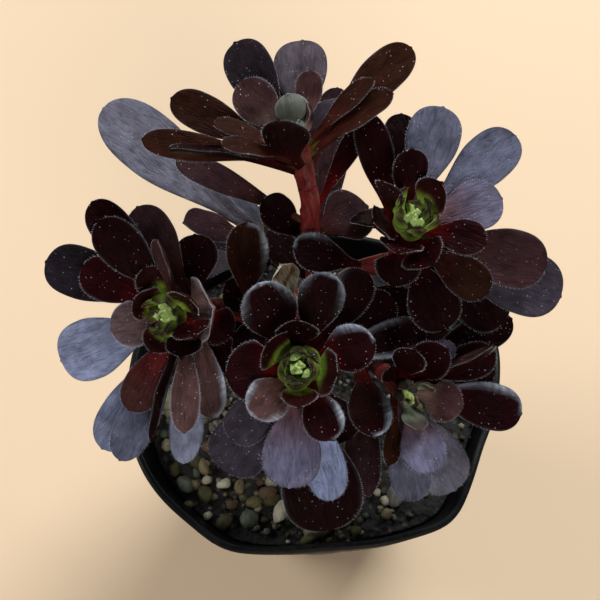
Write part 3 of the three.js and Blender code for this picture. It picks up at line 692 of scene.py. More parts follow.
def plant_skin(name, speck_share=0.5, crease_shade_depth=0.2, bump=0.34, level=0.03, contrast=0.45):
    """A material whose colour and roughness come from the points, and its grain from the group.

    speck_share is how many places may hold a speck, crease_shade_depth how much painted shade darkens a
    crease, bump the grain's height in mm, level the strength of its mirror and contrast how far its tone
    strays."""
    material, tree, shader = new_material(name)
    skin = add_node(tree, "ShaderNodeAttribute", dict(attribute_name="skin")).outputs["Color"]
    run = add_node(tree, "ShaderNodeAttribute", dict(attribute_name="surface_map")).outputs["Vector"]
    gloss = add_node(tree, "ShaderNodeAttribute", dict(attribute_name="gloss")).outputs["Fac"]
    grain = tree.nodes.new("ShaderNodeGroup")
    grain.node_tree = GRAIN
    grain.inputs["Speck Share"].default_value = speck_share
    tree.links.new(run, grain.inputs["Map"])
    shade = spread(tree, grain.outputs["Tone"], 0.3, 0.7, 1 - contrast, 1 + contrast)
    # painted shade: the tone is darkened where the grain has creases
    crease_shading = maths(tree, "MULTIPLY", grain.outputs["Crease Shade"], crease_shade_depth)
    shade = maths(tree, "MULTIPLY", shade, maths(tree, "SUBTRACT", 1.0, crease_shading))
    toned = add_node(tree, "ShaderNodeVectorMath", dict(operation="SCALE"), _0=skin, Scale=shade).outputs[0]
    speckled = mix_colours(tree, maths(tree, "MULTIPLY", grain.outputs["Specks"], SPECK_STRENGTH), toned,
                           SPECK)
    tree.links.new(speckled, shader.inputs["Base Color"])
    rough = maths(tree, "ADD", gloss, spread(tree, grain.outputs["Tone"], 0.3, 0.7, -0.06, 0.06))
    tree.links.new(rough, shader.inputs["Roughness"])
    shader.inputs["Specular IOR Level"].default_value = level
    bumped = add_node(tree, "ShaderNodeBump", Height=grain.outputs["Height"], Strength=0.7,
                      Distance=bump * MM)
    tree.links.new(bumped.outputs[0], shader.inputs["Normal"])
    return material


LEAF_SKIN = plant_skin("leaf skin")
HEART_SKIN = plant_skin("young leaf skin", speck_share=0.05, crease_shade_depth=0.15, bump=0.06, contrast=0.3)
HAIR, tree, shader = new_material("leaf hair")
patchy = add_node(tree, "ShaderNodeTexNoise", Vector=object_place(tree), Scale=900.0).outputs[0]
white = mix_colours(tree, patchy, (0.42, 0.40, 0.44, 1), (0.85, 0.88, 0.92, 1))
tree.links.new(white, shader.inputs["Base Color"])
shader.inputs["Roughness"].default_value = 0.45
print("materials:", LEAF_SKIN.name, HEART_SKIN.name, HAIR.name)

# %% [markdown]
# A rosette grows from its middle: each new leaf stands a golden angle, 137.5 degrees, round from the
# one before, so no leaf ever hides another. The newest are pale green scales that lean together, and
# the older ones round them open and take a dark tip.

# %% The hearts
GOLDEN = math.radians(137.5)
SPROUTS = 0.42  # the innermost share of a heart's scales is still pale
HEARTS = {  # count, radius of the ring of the oldest scales, their width, height of the middle, look
    "centre": (17, 3.8, 4.6, 3.8, "bud"), "left": (17, 3.8, 5.0, 4.2, "bud"),
    "top": (5, 1.6, 3.0, 2.4, "pearl"), "right": (17, 3.8, 4.8, 3.6, "bud"),
    "low": (7, 2.2, 3.6, 2.6, "olive"), "back": (5, 2.0, 3.2, 3.6, "bud"),
}


def scale_rows(count, radius, width, height, look):
    """Rows of young leaves: the share i / count runs from the middle out and its power 0.8 gives the
    radius; the outer scales stand lower and wider, and the innermost are sprouts."""
    share = (np.arange(count) + 0.4) / count
    angle = GOLDEN * np.arange(count)
    out = radius * share ** 0.8
    rows = zip(out * np.cos(angle), out * np.sin(angle), height * (1 - 0.25 * share),
               width * (0.3 + 0.7 * share), share)
    return [(0.4 + 1.2 * r, x, y, z, w, 0, -0.3 - 0.9 * r, "sprout" if r < SPROUTS else look)
            for x, y, z, w, r in rows]


print("scales in the hearts:", sum(item[0] for item in HEARTS.values()))

# %% Build the rosettes
# Every leaf and scale has a seed of its own, in the order of the rows. A heart's hairs are finer.
seed = 0
for name, head in HEADS.items():
    made, buds = [], []
    for row in head["leaves"]:
        seed += 1
        made.append((*head_leaf(head, row, seed), row[7], row[8:]))
    for row in head["buds"] + scale_rows(*HEARTS[name]):
        seed += 1
        buds.append((*head_leaf(head, row, seed), row[7], row[8:]))
    place(gather(f"{name}_leaves", made), LEAF_SKIN, "leaf", f"leaves_{name}")
    place(gather(f"{name}_heart", buds), HEART_SKIN, "heart", f"heart_{name}")
    points, faces = fringe([item[3] for item in made], seed)
    tiny = fringe([item[3] for item in buds], seed + 500, spacing=0.32, longest=0.26, radius=0.026)
    faces = faces + [tiny[1][0] + len(points)]
    hairs = add_mesh(f"{name}_hairs", np.concatenate([points, tiny[0]]), faces, smooth=False)
    place(hairs, HAIR, "leaf")

# %% [markdown]
# The stem forks into a branch for each head. A real branch is never straight: it follows a smooth
# curve through a few points, thins on its way up and has a swelling where each old leaf fell.

# %% Curves
GAP = 0.3  # mm between pieces that touch: soil and pot, a branch's end and its head's core
FORK = (0.8, 15.4, 10)  # where the branches part, in the crown's frame
TRUNK_FOOT = np.array([1.0, 5.0, 56.0])  # the trunk's lower end, in the world
STRAIGHT = 3  # mm of straight branch under a head
STEPS, CURVE_POINTS = 60, 400  # points along one cubic or a core, and along a branch's middle line


def smooth_curve(knots):
    """Points evenly spread along a centripetal Catmull-Rom curve through the knots.

    Between two knots the curve is a cubic whose end slopes come from the neighbours, weighted by the
    square roots of the distances."""
    knots = np.asarray(knots, float)
    knots = np.concatenate([[2 * knots[0] - knots[1]], knots, [2 * knots[-1] - knots[-2]]])
    t = np.linspace(0, 1, STEPS)[:, None]
    lines = []
    for p0, p1, p2, p3 in zip(knots, knots[1:], knots[2:], knots[3:]):
        d0, d1, d2 = (np.linalg.norm(b - a) ** 0.5 for a, b in ((p0, p1), (p1, p2), (p2, p3)))
        slope1 = d1 * ((p1 - p0) / d0 - (p2 - p0) / (d0 + d1) + (p2 - p1) / d1)
        slope2 = d1 * ((p2 - p1) / d1 - (p3 - p1) / (d1 + d2) + (p3 - p2) / d2)
        lines.append(p1 + slope1 * t + (3 * (p2 - p1) - 2 * slope1 - slope2) * t ** 2
                     + (2 * (p1 - p2) + slope1 + slope2) * t ** 3)
    line = np.concatenate(lines)
    run = np.concatenate([[0], np.cumsum(np.linalg.norm(np.diff(line, axis=0), axis=1))])
    at = np.linspace(0, run[-1], CURVE_POINTS)
    return np.stack([np.interp(at, run, line[:, k]) for k in range(3)], -1), run[-1]


def branch_line(head):
    """The middle line of a head's branch, from the fork up to just under the head's core."""
    along = crown_direction(head["axis"])
    end = crown_point(head["heart"]) - along * (head["core"] + GAP)
    knots = [crown_point(FORK), *map(crown_point, head["via"]), end - STRAIGHT * along, end]
    return smooth_curve(knots)


print("branch of the top head:", round(branch_line(HEADS["top"])[1], 1), "mm")

# %% Rods
ROD_POINTS, ROD_STEP = 22, 0.7  # points round a rod, and mm between its rings
SCAR, UNEVEN = 0.13, 0.05  # swelling of a leaf scar and of the whole wood, as shares of the radius
ROD_CAP, ROD_MAP_STEP = 0.4, 11.3  # mm: the rounded end, and the step between the maps of two rods


def rod(line, length, radii, seed):
    """Closed skin round a line: the radius runs from one value to the other and swells at leaf scars.

    radius = taper * (1 + scar * bump + uneven * slow wave), where bump = max(0, sin(1.15 * mm along
    + 2 * angle round))^6, so the scars turn round the wood as they climb."""
    dice = np.random.default_rng(seed)
    rows = max(14, int(length / ROD_STEP))
    pick = np.linspace(0, len(line) - 1, rows).astype(int)
    centre = line[pick]
    tangent = unit(np.gradient(centre, axis=0))
    across = unit(np.cross(tangent, [0.2, 1.0, 0.1]))
    upward = np.cross(across, tangent)
    share = np.linspace(0, 1, rows)[:, None]
    a = 2 * np.pi * np.arange(ROD_POINTS)[None, :] / ROD_POINTS
    run = share * length
    bumps = np.maximum(0, np.sin(run * 1.15 + 2.0 * a + dice.uniform(0, 6))) ** 6
    slow = UNEVEN * np.sin(run * 0.5 + 3 * a + dice.uniform(0, 6))
    radius = (radii[0] + (radii[1] - radii[0]) * share) * (1 + SCAR * bumps + slow)
    grid = centre[:, None] + radius[..., None] * (np.cos(a)[..., None] * across[:, None]
                                                  + np.sin(a)[..., None] * upward[:, None])
    points = np.concatenate([grid.reshape(-1, 3), centre[:1], centre[-1:] + tangent[-1:] * ROD_CAP])
    own = ROD_MAP_STEP * seed
    maps = np.stack([radii[0] * a + 0 * run, run + 0 * a, own + 0 * a + 0 * run], -1).reshape(-1, 3)
    maps = np.concatenate([maps, [[0, 0, 0], [0, length, 0]]])
    shares = np.concatenate([(share + 0 * a).ravel(), [0, 1]])
    scars = np.concatenate([bumps.ravel(), [0, 0]])
    return points, maps, shares, scars, skin_faces(rows, ROD_POINTS)


print("points round a rod:", ROD_POINTS)


# %% The stem
def stem_colour(shares, scars, low, high):
    """Old bark at the foot turns to the red of young wood; the scars are paler."""
    colour = blend(low, high, ramp(shares, 0.0, 0.6))
    return blend(colour, SCAR_TONE, 0.5 * scars)


BARK, OLD_RED, RED = (0.035, 0.018, 0.013), (0.045, 0.006, 0.006), (0.200, 0.022, 0.022)
CORE_RED, SCAR_TONE = (0.14, 0.024, 0.018), (0.10, 0.045, 0.035)
TRUNK, BRANCH, CORE = (3.1, 2.7), (2.28, 1.9), (1.9, 2.1)  # radii at the foot and at the head, in mm
TRUNK_KNEE = 68.5  # the trunk rises straight to this height
CORE_SHORT = 1.6  # the core stops this far under the heart, so that the young scales cover it
WOOD_GLOSS = 0.34  # roughness
stem_points, stem_maps, stem_tones, stem_gloss, stem_faces = [], [], [], [], []


def add_rod(line, length, radii, low, high, seed):
    """Adds one rod's points to the stem's lists."""
    points, maps, shares, scars, faces = rod(line, length, radii, seed)
    offset = sum(map(len, stem_points))
    stem_points.append(points)
    stem_maps.append(maps)
    stem_tones.append(stem_colour(shares, scars, low, high))
    stem_gloss.append(np.full(len(points), WOOD_GLOSS))
    stem_faces.extend(group + offset for group in faces)


knee = TRUNK_FOOT * [1, 1, 0] + [0, 0, TRUNK_KNEE]
trunk_line, trunk_length = smooth_curve([TRUNK_FOOT, knee, crown_point(FORK)])
add_rod(trunk_line, trunk_length, TRUNK, BARK, OLD_RED, 1)
for number, (name, head) in enumerate(HEADS.items()):
    line, length = branch_line(head)
    add_rod(line, length, BRANCH, OLD_RED, OLD_RED if name == "low" else RED, 2 + number)
    core_length = head["core"] + GAP - CORE_SHORT
    core = np.linspace(0, 1, STEPS)[:, None] * core_length * crown_direction(head["axis"]) + line[-1]
    add_rod(core, head["core"], CORE, RED, CORE_RED, 12 + number)
STEM_SKIN = plant_skin("stem skin", speck_share=0.15, crease_shade_depth=0.5, bump=0.15, level=0.1)
stem = add_mesh("branches", np.concatenate(stem_points), stem_faces, np.concatenate(stem_tones),
                np.concatenate(stem_maps), np.concatenate(stem_gloss))
place(stem, STEM_SKIN, "stem", "stem")

# %% [markdown]
# Below the heads a few older leaves still hang on the branches, and they fill the dark between the
# rosettes. They are the same spoons. Only the foot differs: it stands on a branch's middle line, so
# a row names the head whose branch it is and the share of the way along it.

# %% Leaves on the branches
# Head, share along its branch, x, y and z of the tip in the crown's frame, width, roll, bow, look, painted
# highlights.
STEM_LEAVES = [
    ("top", 0.76, -29, 52.6, 28, 6, 0, 1, "mauve"),
    ("top", 0.3, 5, 71, 13, 9.5, 0, 0.5, "mauve"),
    ("top", 0.62, -11.1, 43.5, 33, 7.6, 0, 0.5, "ink"),
    ("top", 0.8, 10.6, 60.4, 32, 4.6, 0, 0.5, "wine"),
    ("top", 0.66, 11.2, 43.5, 21, 12, 0, 0.5, "mauve"),
    ("top", 0.3, -10.2, 37.9, 23, 7, 0, 0.5, "mauve"),
    ("right", 0.72, -4.7, 34, 35, 8, 0, 0.5, "ink", (-1, 0.9, 0.4)),
    ("right", 0.45, 22, 19, 24, 11, 0, 0.5, "ink"),
    ("centre", 0.5, 15, 20, 26, 9, 0, 0.5, "ink"),
    ("low", 0.64, 11, -2.8, 42, 8.5, 0, 0, "wine", (1, 0.8, 1)),
    ("low", 0.6, 9.6, -16.6, 33, 7.4, 0, 0.5, "mauve"),
    ("low", 0.35, 27, 11, 14, 9, 0, 0.5, "ink"),
    ("left", 0.68, -13.5, 38.8, 37, 8.5, 0, 0.5, "bronze", (-1, 0.85, 0.8)),
    ("left", 0.4, -21, 12, 22, 10, 0, 0.5, "ink"),
    ("left", 0.6, -18.6, 27.1, 28, 8, 0, 0.5, "ink"),
    ("low", 0.5, 28.7, 17.2, 20, 8, 0, 0.5, "ink"),
]
DRIED_LEAF = ("centre", 0.55, -7.2, 30.6, 32, 8.5, 20, -1.5)


def stem_leaf(row, seed, clear=0.0):
    """A leaf whose foot is on a branch's middle line, or clear of it by some mm towards the tip."""
    name, share, x, y, z, width, roll, bow = row[:8]
    line = branch_line(HEADS[name])[0]
    at = int(round(share * (len(line) - 1)))
    root, tip = line[at], crown_point((x, y, z))
    if clear:
        tangent = unit(line[at + 1] - line[at - 1])
        reach = tip - root
        root = root + unit(reach - tangent * np.dot(reach, tangent)) * clear
    return leaf(root, tip, crown_direction((0, 0.2, 1)), width, roll, bow, seed)


made = [(*stem_leaf(row, 200 + i), row[8], row[9:]) for i, row in enumerate(STEM_LEAVES)]
place(gather("branch_leaves", made), LEAF_SKIN, "leaf", "stem")
points, faces = fringe([item[3] for item in made], 77)
place(add_mesh("branch_leaf_hairs", points, faces, smooth=False), HAIR, "leaf")

# %% [markdown]
# One leaf has withered on its branch. A dead leaf loses its water and gathers into folds, so the same
# spoon is made again, then crumpled: every point is pushed by a few crossing waves.

# %% The dried leaf
STRAW, BROWN_FOLD, PAPER = (0.95, 0.82, 0.60), (0.50, 0.30, 0.14), (0.98, 0.92, 0.80)
skin, places, run, rim = stem_leaf(DRIED_LEAF, 301, clear=BRANCH[0] + GAP)
s, u, w = places.T
push = 0.5 * np.sin(9 * s + 2 * u) * np.sin(4 * u + 5 * s + 1) * ramp(s, 0.1, 0.35)
fold = 0.35 * np.sin(21 * s) * np.abs(u)
shrink = 0.22 * (u * ramp(s, 0.3, 0.7) * 3)
crumpled = skin + (push + fold)[:, None] * rim["up"] - shrink[:, None] * rim["side"]
tone = blend(STRAW, BROWN_FOLD, ramp(np.sin(14 * s + 3 * u), 0.2, 0.95))
tone = blend(tone, PAPER, ramp(np.abs(u), 0.7, 1.0) * 0.6)
dried = add_mesh("dried_leaf_skin", crumpled, [LEAF_QUADS, LEAF_FANS], tone, run, np.full(len(s), 0.8))
DRY_SKIN = plant_skin("dried leaf skin", speck_share=0.0, crease_shade_depth=0.5, bump=0.3, contrast=0.4, level=0.2)
place(dried, DRY_SKIN, "dried_leaf", "dried_leaf")

# %% [markdown]
# The pot is a thin black nursery pot: a round foot, a wider oval rim with a rolled band, and soft walls
# that the roots and a hand have pushed out of round. Each level ring of it is one line of arithmetic, so
# the wall is a stack of such rings, outside and inside, and the drain holes are cut through its floor.

# %% The pot
POT_HEIGHT, BASE_RADIUS, RIM_RADIUS, RIM_DEPTH = 72.0, 26.0, 45.0, 0.94
WALL, FLOOR, POT_SIDES = 1.1, 1.4, 192
DRAINS, DRAIN_RADIUS, DRAIN_CIRCLE, DRAIN_SIDES = 8, 2.6, 16, 24
# Soft folds of the rim: bearing, mm that it stands out (+) or in (-), and half the angle it spreads over.
FOLDS = [(-142, 1.8, 26), (-116, 1.7, 10), (-85, -2.2, 18), (-51, 1.6, 9), (-24, -3.2, 16),
         (-2, -1.5, 12), (40, 0.8, 18), (100, -1.4, 24), (150, 1.2, 18)]


def pot_ring(height, offset):
    """Level ring of the pot: radius = base to rim, plus each fold's bell, times the height squared."""
    share = height / POT_HEIGHT
    bearing = 360 * np.arange(POT_SIDES) / POT_SIDES
    radius = BASE_RADIUS + (RIM_RADIUS - BASE_RADIUS) * share + offset
    for middle, amount, width in FOLDS:
        off = (bearing - middle + 540) % 360 - 180
        radius = radius + amount * np.exp(-(off / width) ** 2) * share ** 2
    angle = np.radians(bearing)
    deep = 1 - (1 - RIM_DEPTH) * share
    return np.stack([radius * np.cos(angle), radius * deep * np.sin(angle), height + 0 * angle], -1)


# Height and offset of each ring, up the outside with its rolled lip, then down the inside.
outside = [(0.0, -1.2), (0.4, -0.5), (1.2, 0), *[(h, 0) for h in np.linspace(4, 64, 16)],
           (65.0, 0), (65.2, 0.25), (65.6, 0.8), (66.2, 1.0), (67.8, 1.05), (69.4, 1.0), (70.8, 1.0),
           (71.5, 0.85), (71.9, 0.45), (72.0, 0.0)]
within = [(72.0, -0.7), (71.8, -1.0), (71.2, -1.1), *[(h, -1.1) for h in np.linspace(68, 3, 16)], (1.4, -1.6)]
profile = outside + within
rings = np.stack([pot_ring(h, off) for h, off in profile])
turned = np.radians(360 * np.arange(POT_SIDES) / POT_SIDES)
# The rim isn't level: three waves, in mm, lift and lower it more and more towards the top.
sag = 0.35 * np.sin(3 * turned + 1) + 0.25 * np.sin(7 * turned) + 0.2 * np.sin(12 * turned + 2)
rings[..., 2] += sag * ramp(rings[..., 2], 55, 72)
points = np.concatenate([rings.reshape(-1, 3), [[0, 0, 0], [0, 0, FLOOR]]])
pot = add_mesh("nursery_pot", points, skin_faces(len(profile), POT_SIDES))
print("rings of the pot:", len(profile))

# %% The drain holes
angles = np.radians(360 / DRAINS * (np.arange(DRAINS) + 0.5))
turns = 2 * np.pi * np.arange(DRAIN_SIDES) / DRAIN_SIDES
circle = DRAIN_RADIUS * np.stack([np.cos(turns), np.sin(turns), 0 * turns], -1)
cut_points, cut_faces = [], []
for at, angle in enumerate(angles):
    ring = circle + [DRAIN_CIRCLE * math.cos(angle), DRAIN_CIRCLE * math.sin(angle), 0]
    rim_rings = np.stack([ring - [0, 0, 2], ring + [0, 0, 4]])
    ends = rim_rings.mean(1)
    cut_points.append(np.concatenate([rim_rings.reshape(-1, 3), ends]))
    cut_faces.extend(group + at * len(cut_points[0]) for group in skin_faces(2, DRAIN_SIDES))
cutter = add_mesh("drain_cutter", np.concatenate(cut_points), cut_faces, smooth=False)
drill = pot.modifiers.new("drains", "BOOLEAN")
drill.operation, drill.object, drill.solver = "DIFFERENCE", cutter, "EXACT"
bpy.context.view_layer.update()
cut = bpy.data.meshes.new_from_object(pot.evaluated_get(bpy.context.evaluated_depsgraph_get()))
pot.modifiers.clear()
pot.data = cut
bpy.data.objects.remove(cutter)
print("pot faces after the drains are cut:", len(cut.polygons))

# %% [markdown]
# The pot's plastic is thin, black and satin. A used pot is never clean: dust clings to it in patches,
# more of it near the rim where it is watered, and fine scratches run up the wall. The scratches are
# noise that is stretched along the height, and the dust is one noise times another.

# %% Black plastic
BLACK, DUST = (0.0026, 0.0029, 0.0030, 1), (0.020, 0.019, 0.016, 1)
PLASTIC, tree, shader = new_material("black pot plastic")
spot = object_place(tree)
cloud = add_node(tree, "ShaderNodeTexNoise", Vector=spot, Scale=60.0, Detail=5.0).outputs[0]
dust = add_node(tree, "ShaderNodeTexNoise", Vector=spot, Scale=900.0, Detail=3.0).outputs[0]
drawn = add_node(tree, "ShaderNodeMapping", Vector=spot, Scale=(600.0, 600.0, 30.0)).outputs[0]
scratch = add_node(tree, "ShaderNodeTexNoise", Vector=drawn, Scale=1.0, Detail=3.0).outputs[0]
level = add_node(tree, "ShaderNodeSeparateXYZ", Vector=spot).outputs["Z"]
near_rim = spread(tree, level, 0.060, 0.072)
dusty = maths(tree, "MULTIPLY", spread(tree, cloud, 0.45, 0.7), spread(tree, dust, 0.4, 0.65))
dusty = maths(tree, "MULTIPLY", dusty, maths(tree, "ADD", 0.25, maths(tree, "MULTIPLY", near_rim, 0.35)))
coloured = mix_colours(tree, dusty, BLACK, DUST)
tree.links.new(coloured, shader.inputs["Base Color"])
worn = maths(tree, "ADD", spread(tree, cloud, 0.3, 0.7, 0.32, 0.5), maths(tree, "MULTIPLY", dusty, 0.5))
tree.links.new(worn, shader.inputs["Roughness"])
shader.inputs["Specular IOR Level"].default_value = 0.15
relief = maths(tree, "ADD", scratch, maths(tree, "MULTIPLY", dust, 0.4))
dented = add_node(tree, "ShaderNodeBump", Height=relief, Strength=0.5, Distance=0.00012)
tree.links.new(dented.outputs[0], shader.inputs["Normal"])
cut.materials.clear()
place(pot, PLASTIC, "pot", "pot")

# %% [markdown]
# The pot is filled with dark, damp soil and dressed with river gravel. The soil is one closed skin: down
# the wall, across the floor, and over the top to a hole for the trunk. Its top is roughened by three
# sizes of smooth random lumps, because crumbs of soil come in all sizes.

# %% Soil
SOIL_TOP, SOIL_CROWN, SOIL_FLAT = 65.5, 1.8, 32  # mm: height, fall to the wall, and radius of the flat
HOLE_RADIUS, TOP_ROWS = 3.5, 74  # the trunk's hole in mm, and the rings from the wall to it


def lumps(x, y, cell, seed):
    """Smooth random heights from -1 to 1: numbers drawn on a square lattice, eased between them."""
    table = np.random.default_rng(seed).uniform(-1, 1, (64, 64))
    gx, gy = x / cell + 32, y / cell + 32
    i, j = np.floor(gx).astype(int) % 63, np.floor(gy).astype(int) % 63
    fx, fy = ramp(gx - np.floor(gx), 0, 1), ramp(gy - np.floor(gy), 0, 1)
    near = table[i, j] * (1 - fx) + table[i + 1, j] * fx
    far = table[i, j + 1] * (1 - fx) + table[i + 1, j + 1] * fx
    return near * (1 - fy) + far * fy


def soil_height(radius):
    """The soil is flat in the middle, then falls in a straight line to the wall."""
    return SOIL_TOP - SOIL_CROWN * np.clip((radius - SOIL_FLAT) / (RIM_RADIUS - SOIL_FLAT), 0, 1)


inner = -WALL - GAP
wall_rings = [pot_ring(FLOOR + GAP, inner - 0.5), *[pot_ring(h, inner) for h in (4, 20, 43.2, 60)]]
edge_ring = pot_ring(SOIL_TOP - SOIL_CROWN, inner)
trunk_place = TRUNK_FOOT * [1, 1, 0]
hole = trunk_place + HOLE_RADIUS * np.stack([np.cos(turned), np.sin(turned), 0 * turned], -1)
share = np.linspace(0, 1, TOP_ROWS)[:, None, None]
top = edge_ring * (1 - share) + hole * share
radius = np.hypot(top[..., 0], top[..., 1])
rough = (1.0 * lumps(top[..., 0], top[..., 1], 4.0, 1) + 0.7 * lumps(top[..., 0], top[..., 1], 1.7, 2)
         + 0.4 * lumps(top[..., 0], top[..., 1], 0.8, 3))
top[..., 2] = soil_height(radius) + rough * ramp(share[..., 0], 0, 0.06) - 0.3
well = np.stack([hole + [0, 0, z] for z in (64.0, 61.0, 57.5)])
grid = np.concatenate([np.stack(wall_rings), top, well])
points = np.concatenate([grid.reshape(-1, 3), [[0, 0, FLOOR + GAP]], [trunk_place + [0, 0, 57.0]]])
soil = add_mesh("potting_soil", points, skin_faces(len(grid), POT_SIDES))
print("rings of soil:", len(grid))

# %% [markdown]
# Damp soil is nearly black, with brown clods and a few pale grains of sand. Noise gives the clods,
# and small cells give the grains: only those whose random number is high are pale.

# %% Damp soil
DAMP, CLOD, SAND_GRAIN = (0.0020, 0.0017, 0.0014, 1), (0.014, 0.010, 0.006, 1), (0.10, 0.085, 0.05, 1)
SOIL_SKIN, tree, shader = new_material("damp potting soil")
spot = object_place(tree)
clods = add_node(tree, "ShaderNodeTexNoise", Vector=spot, Scale=330.0, Detail=6.0, Roughness=0.65).outputs[0]
grains = add_node(tree, "ShaderNodeTexVoronoi", Vector=spot, Scale=900.0)
picked = add_node(tree, "ShaderNodeSeparateColor", _0=grains.outputs["Color"]).outputs[0]
pale = maths(tree, "GREATER_THAN", picked, 0.93)
earth = mix_colours(tree, spread(tree, clods, 0.35, 0.7), DAMP, CLOD)
earth = mix_colours(tree, maths(tree, "MULTIPLY", pale, 0.45), earth, SAND_GRAIN)
tree.links.new(earth, shader.inputs["Base Color"])
tree.links.new(spread(tree, clods, 0.3, 0.7, 0.75, 0.95), shader.inputs["Roughness"])
relief = maths(tree, "ADD", clods, maths(tree, "MULTIPLY", grains.outputs["Distance"], 0.4))
dented = add_node(tree, "ShaderNodeBump", Height=relief, Strength=0.9, Distance=0.0008)
tree.links.new(dented.outputs[0], shader.inputs["Normal"])
place(soil, SOIL_SKIN, "soil", "soil")

# %% [markdown]
# River gravel has been tumbled, so its stones are round blocks with softened faces. Starting from a ball
# of points, each stone is trimmed by a few planes, which is how facets arise, and the trimmed ball is
# stretched and turned. All the stones are worked out as one array.

# %% Stones
PLANES, NEAREST = 9, 0.3  # planes that trim a stone, and the least slant of one that still counts


def ball(level):
    """Points and faces of a ball of radius one, made of even triangles."""
    shell = bmesh.new()
    bmesh.ops.create_icosphere(shell, subdivisions=level, radius=1.0)
    points = np.array([v.co[:] for v in shell.verts])
    faces = np.array([[v.index for v in f.verts] for f in shell.faces])
    shell.free()
    return points, faces


def pebbles(places, sizes, turns, seed, level):
    """Trimmed stones at the places, stretched by their sizes and turned about the upright.

    Towards d a stone's radius is the least of 1 and, over its planes, depth / max(d . plane, 0.3); a
    fifth of the ball's own radius is mixed in, which softens the facets."""
    dice = np.random.default_rng(seed)
    ways, faces = ball(level)
    count = len(places)
    planes = unit(dice.normal(size=(count, PLANES, 3)))
    depth = dice.uniform(0.62, 0.95, (count, 1, PLANES))
    reach = np.maximum(np.einsum("vk,npk->nvp", ways, planes), NEAREST)
    radius = np.minimum(1.0, (depth / reach).min(-1)) * 0.8 + 0.2
    local = ways[None] * radius[..., None] * sizes[:, None]
    c, s = np.cos(turns)[:, None], np.sin(turns)[:, None]
    x, y = local[..., 0] * c - local[..., 1] * s, local[..., 0] * s + local[..., 1] * c
    points = np.stack([x, y, local[..., 2]], -1) + places[:, None]
    faces = faces[None] + len(ways) * np.arange(count)[:, None, None]
    return points.reshape(-1, 3), faces.reshape(-1, 3), len(ways)


# Cream, olive, green-grey, tan, sand, brown and pale tan stones, then two greys and a dark olive.
STONE_TONES = np.array([
    [0.40, 0.36, 0.26], [0.045, 0.038, 0.008], [0.075, 0.085, 0.055], [0.16, 0.13, 0.06], [0.10, 0.085, 0.03],
    [0.09, 0.05, 0.025], [0.22, 0.19, 0.12], [0.035, 0.036, 0.034], [0.13, 0.12, 0.10], [0.06, 0.055, 0.02],
])
print("tones of stone:", len(STONE_TONES))

# %% Gravel
STONE_COUNT, STONE_RING, CLEAR_MIDDLE = 40, 38, 6
state = 20


def draw():
    """The next number of a simple repeating sequence, the same one that set the solid stones."""
    global state
    state = (state * 1664525 + 1013904223) % 4294967296
    return state / 4294967296


CREAM, OLIVE, GREEN_GREY, TAN, SAND, BROWN, PALE_TAN = range(7)  # places in STONE_TONES
FRONT_STONES = [  # x, y, half sizes, turn in degrees and tone of the larger stones at the front
    (-8.7, -30.7, 1.8, 3.3, 1.6, -20, CREAM), (-21.6, -33.0, 2.3, 1.9, 1.5, 30, OLIVE),
    (-16.1, -32.3, 2.5, 2.2, 1.7, 70, GREEN_GREY), (-15.0, -28.6, 2.0, 1.5, 1.4, 10, SAND),
    (-11.8, -26.5, 2.3, 1.8, 1.5, 0, BROWN), (-25.8, -31.4, 1.2, 1.1, 0.9, 0, CREAM),
    (-31.4, -24.1, 2.0, 2.5, 1.6, 40, GREEN_GREY), (-34.1, -20.4, 1.6, 2.0, 1.2, 0, OLIVE),
    (-28.9, -18.7, 1.7, 2.1, 1.3, 60, OLIVE), (-22.2, -24.1, 1.9, 1.3, 1.2, 15, CREAM),
    (-36.5, -14.3, 1.4, 1.7, 1.1, 0, PALE_TAN), (-18.4, -24.9, 1.9, 1.4, 1.3, 80, TAN),
    (-26.6, -15.2, 1.8, 1.4, 1.2, 35, BROWN), (-2.1, -36.6, 2.3, 1.4, 1.4, 25, SAND),
    (15.5, -28.1, 1.3, 1.2, 1.0, 0, CREAM), (15.8, -31.2, 1.7, 1.3, 1.2, 50, TAN),
    (-26.4, -26.6, 2.4, 1.8, 1.5, 120, OLIVE), (-6.0, -25.5, 2.0, 1.6, 1.4, 0, OLIVE),
    (2.5, -33.8, 1.8, 1.5, 1.2, 0, BROWN), (8.5, -35.0, 1.6, 1.3, 1.1, 60, OLIVE),
    (-20.4, -29.0, 1.5, 1.2, 1.1, 0, BROWN), (-30.5, -29.0, 1.4, 1.2, 1.0, 20, SAND),
]

places, sizes, turns = [], [], []
for i in range(STONE_COUNT):
    bearing = math.radians(137.5 * i)
    radius = STONE_RING * math.sqrt((i + CLEAR_MIDDLE) / (STONE_COUNT + CLEAR_MIDDLE)) - draw()
    size = 1.4 + 1.8 * draw() ** 2
    sizes.append([size * (1 + 0.5 * draw()), size * (0.75 + 0.3 * draw()), size * (0.6 + 0.3 * draw())])
    turns.append(draw() * math.pi)
    places.append([radius * math.cos(bearing), radius * RIM_DEPTH * math.sin(bearing),
                   soil_height(radius) + 0.3 * size])
tones = np.random.default_rng(5).integers(0, len(STONE_TONES), STONE_COUNT).tolist()
for x, y, *half, turn, tone in FRONT_STONES:
    places.append([x, y, soil_height(math.hypot(x, y)) + 0.45 * half[2]])
    sizes.append(half)
    turns.append(math.radians(turn))
    tones.append(tone)
points, faces, each = pebbles(np.array(places), np.array(sizes), np.array(turns), 9, 3)
colour = np.repeat(STONE_TONES[tones], each, 0)
maps = points + np.repeat(np.arange(len(tones)), each)[:, None] * 7.3
stones = add_mesh("gravel", points, [faces], colour, maps, np.full(len(points), 0.6))
print("stones:", len(tones))

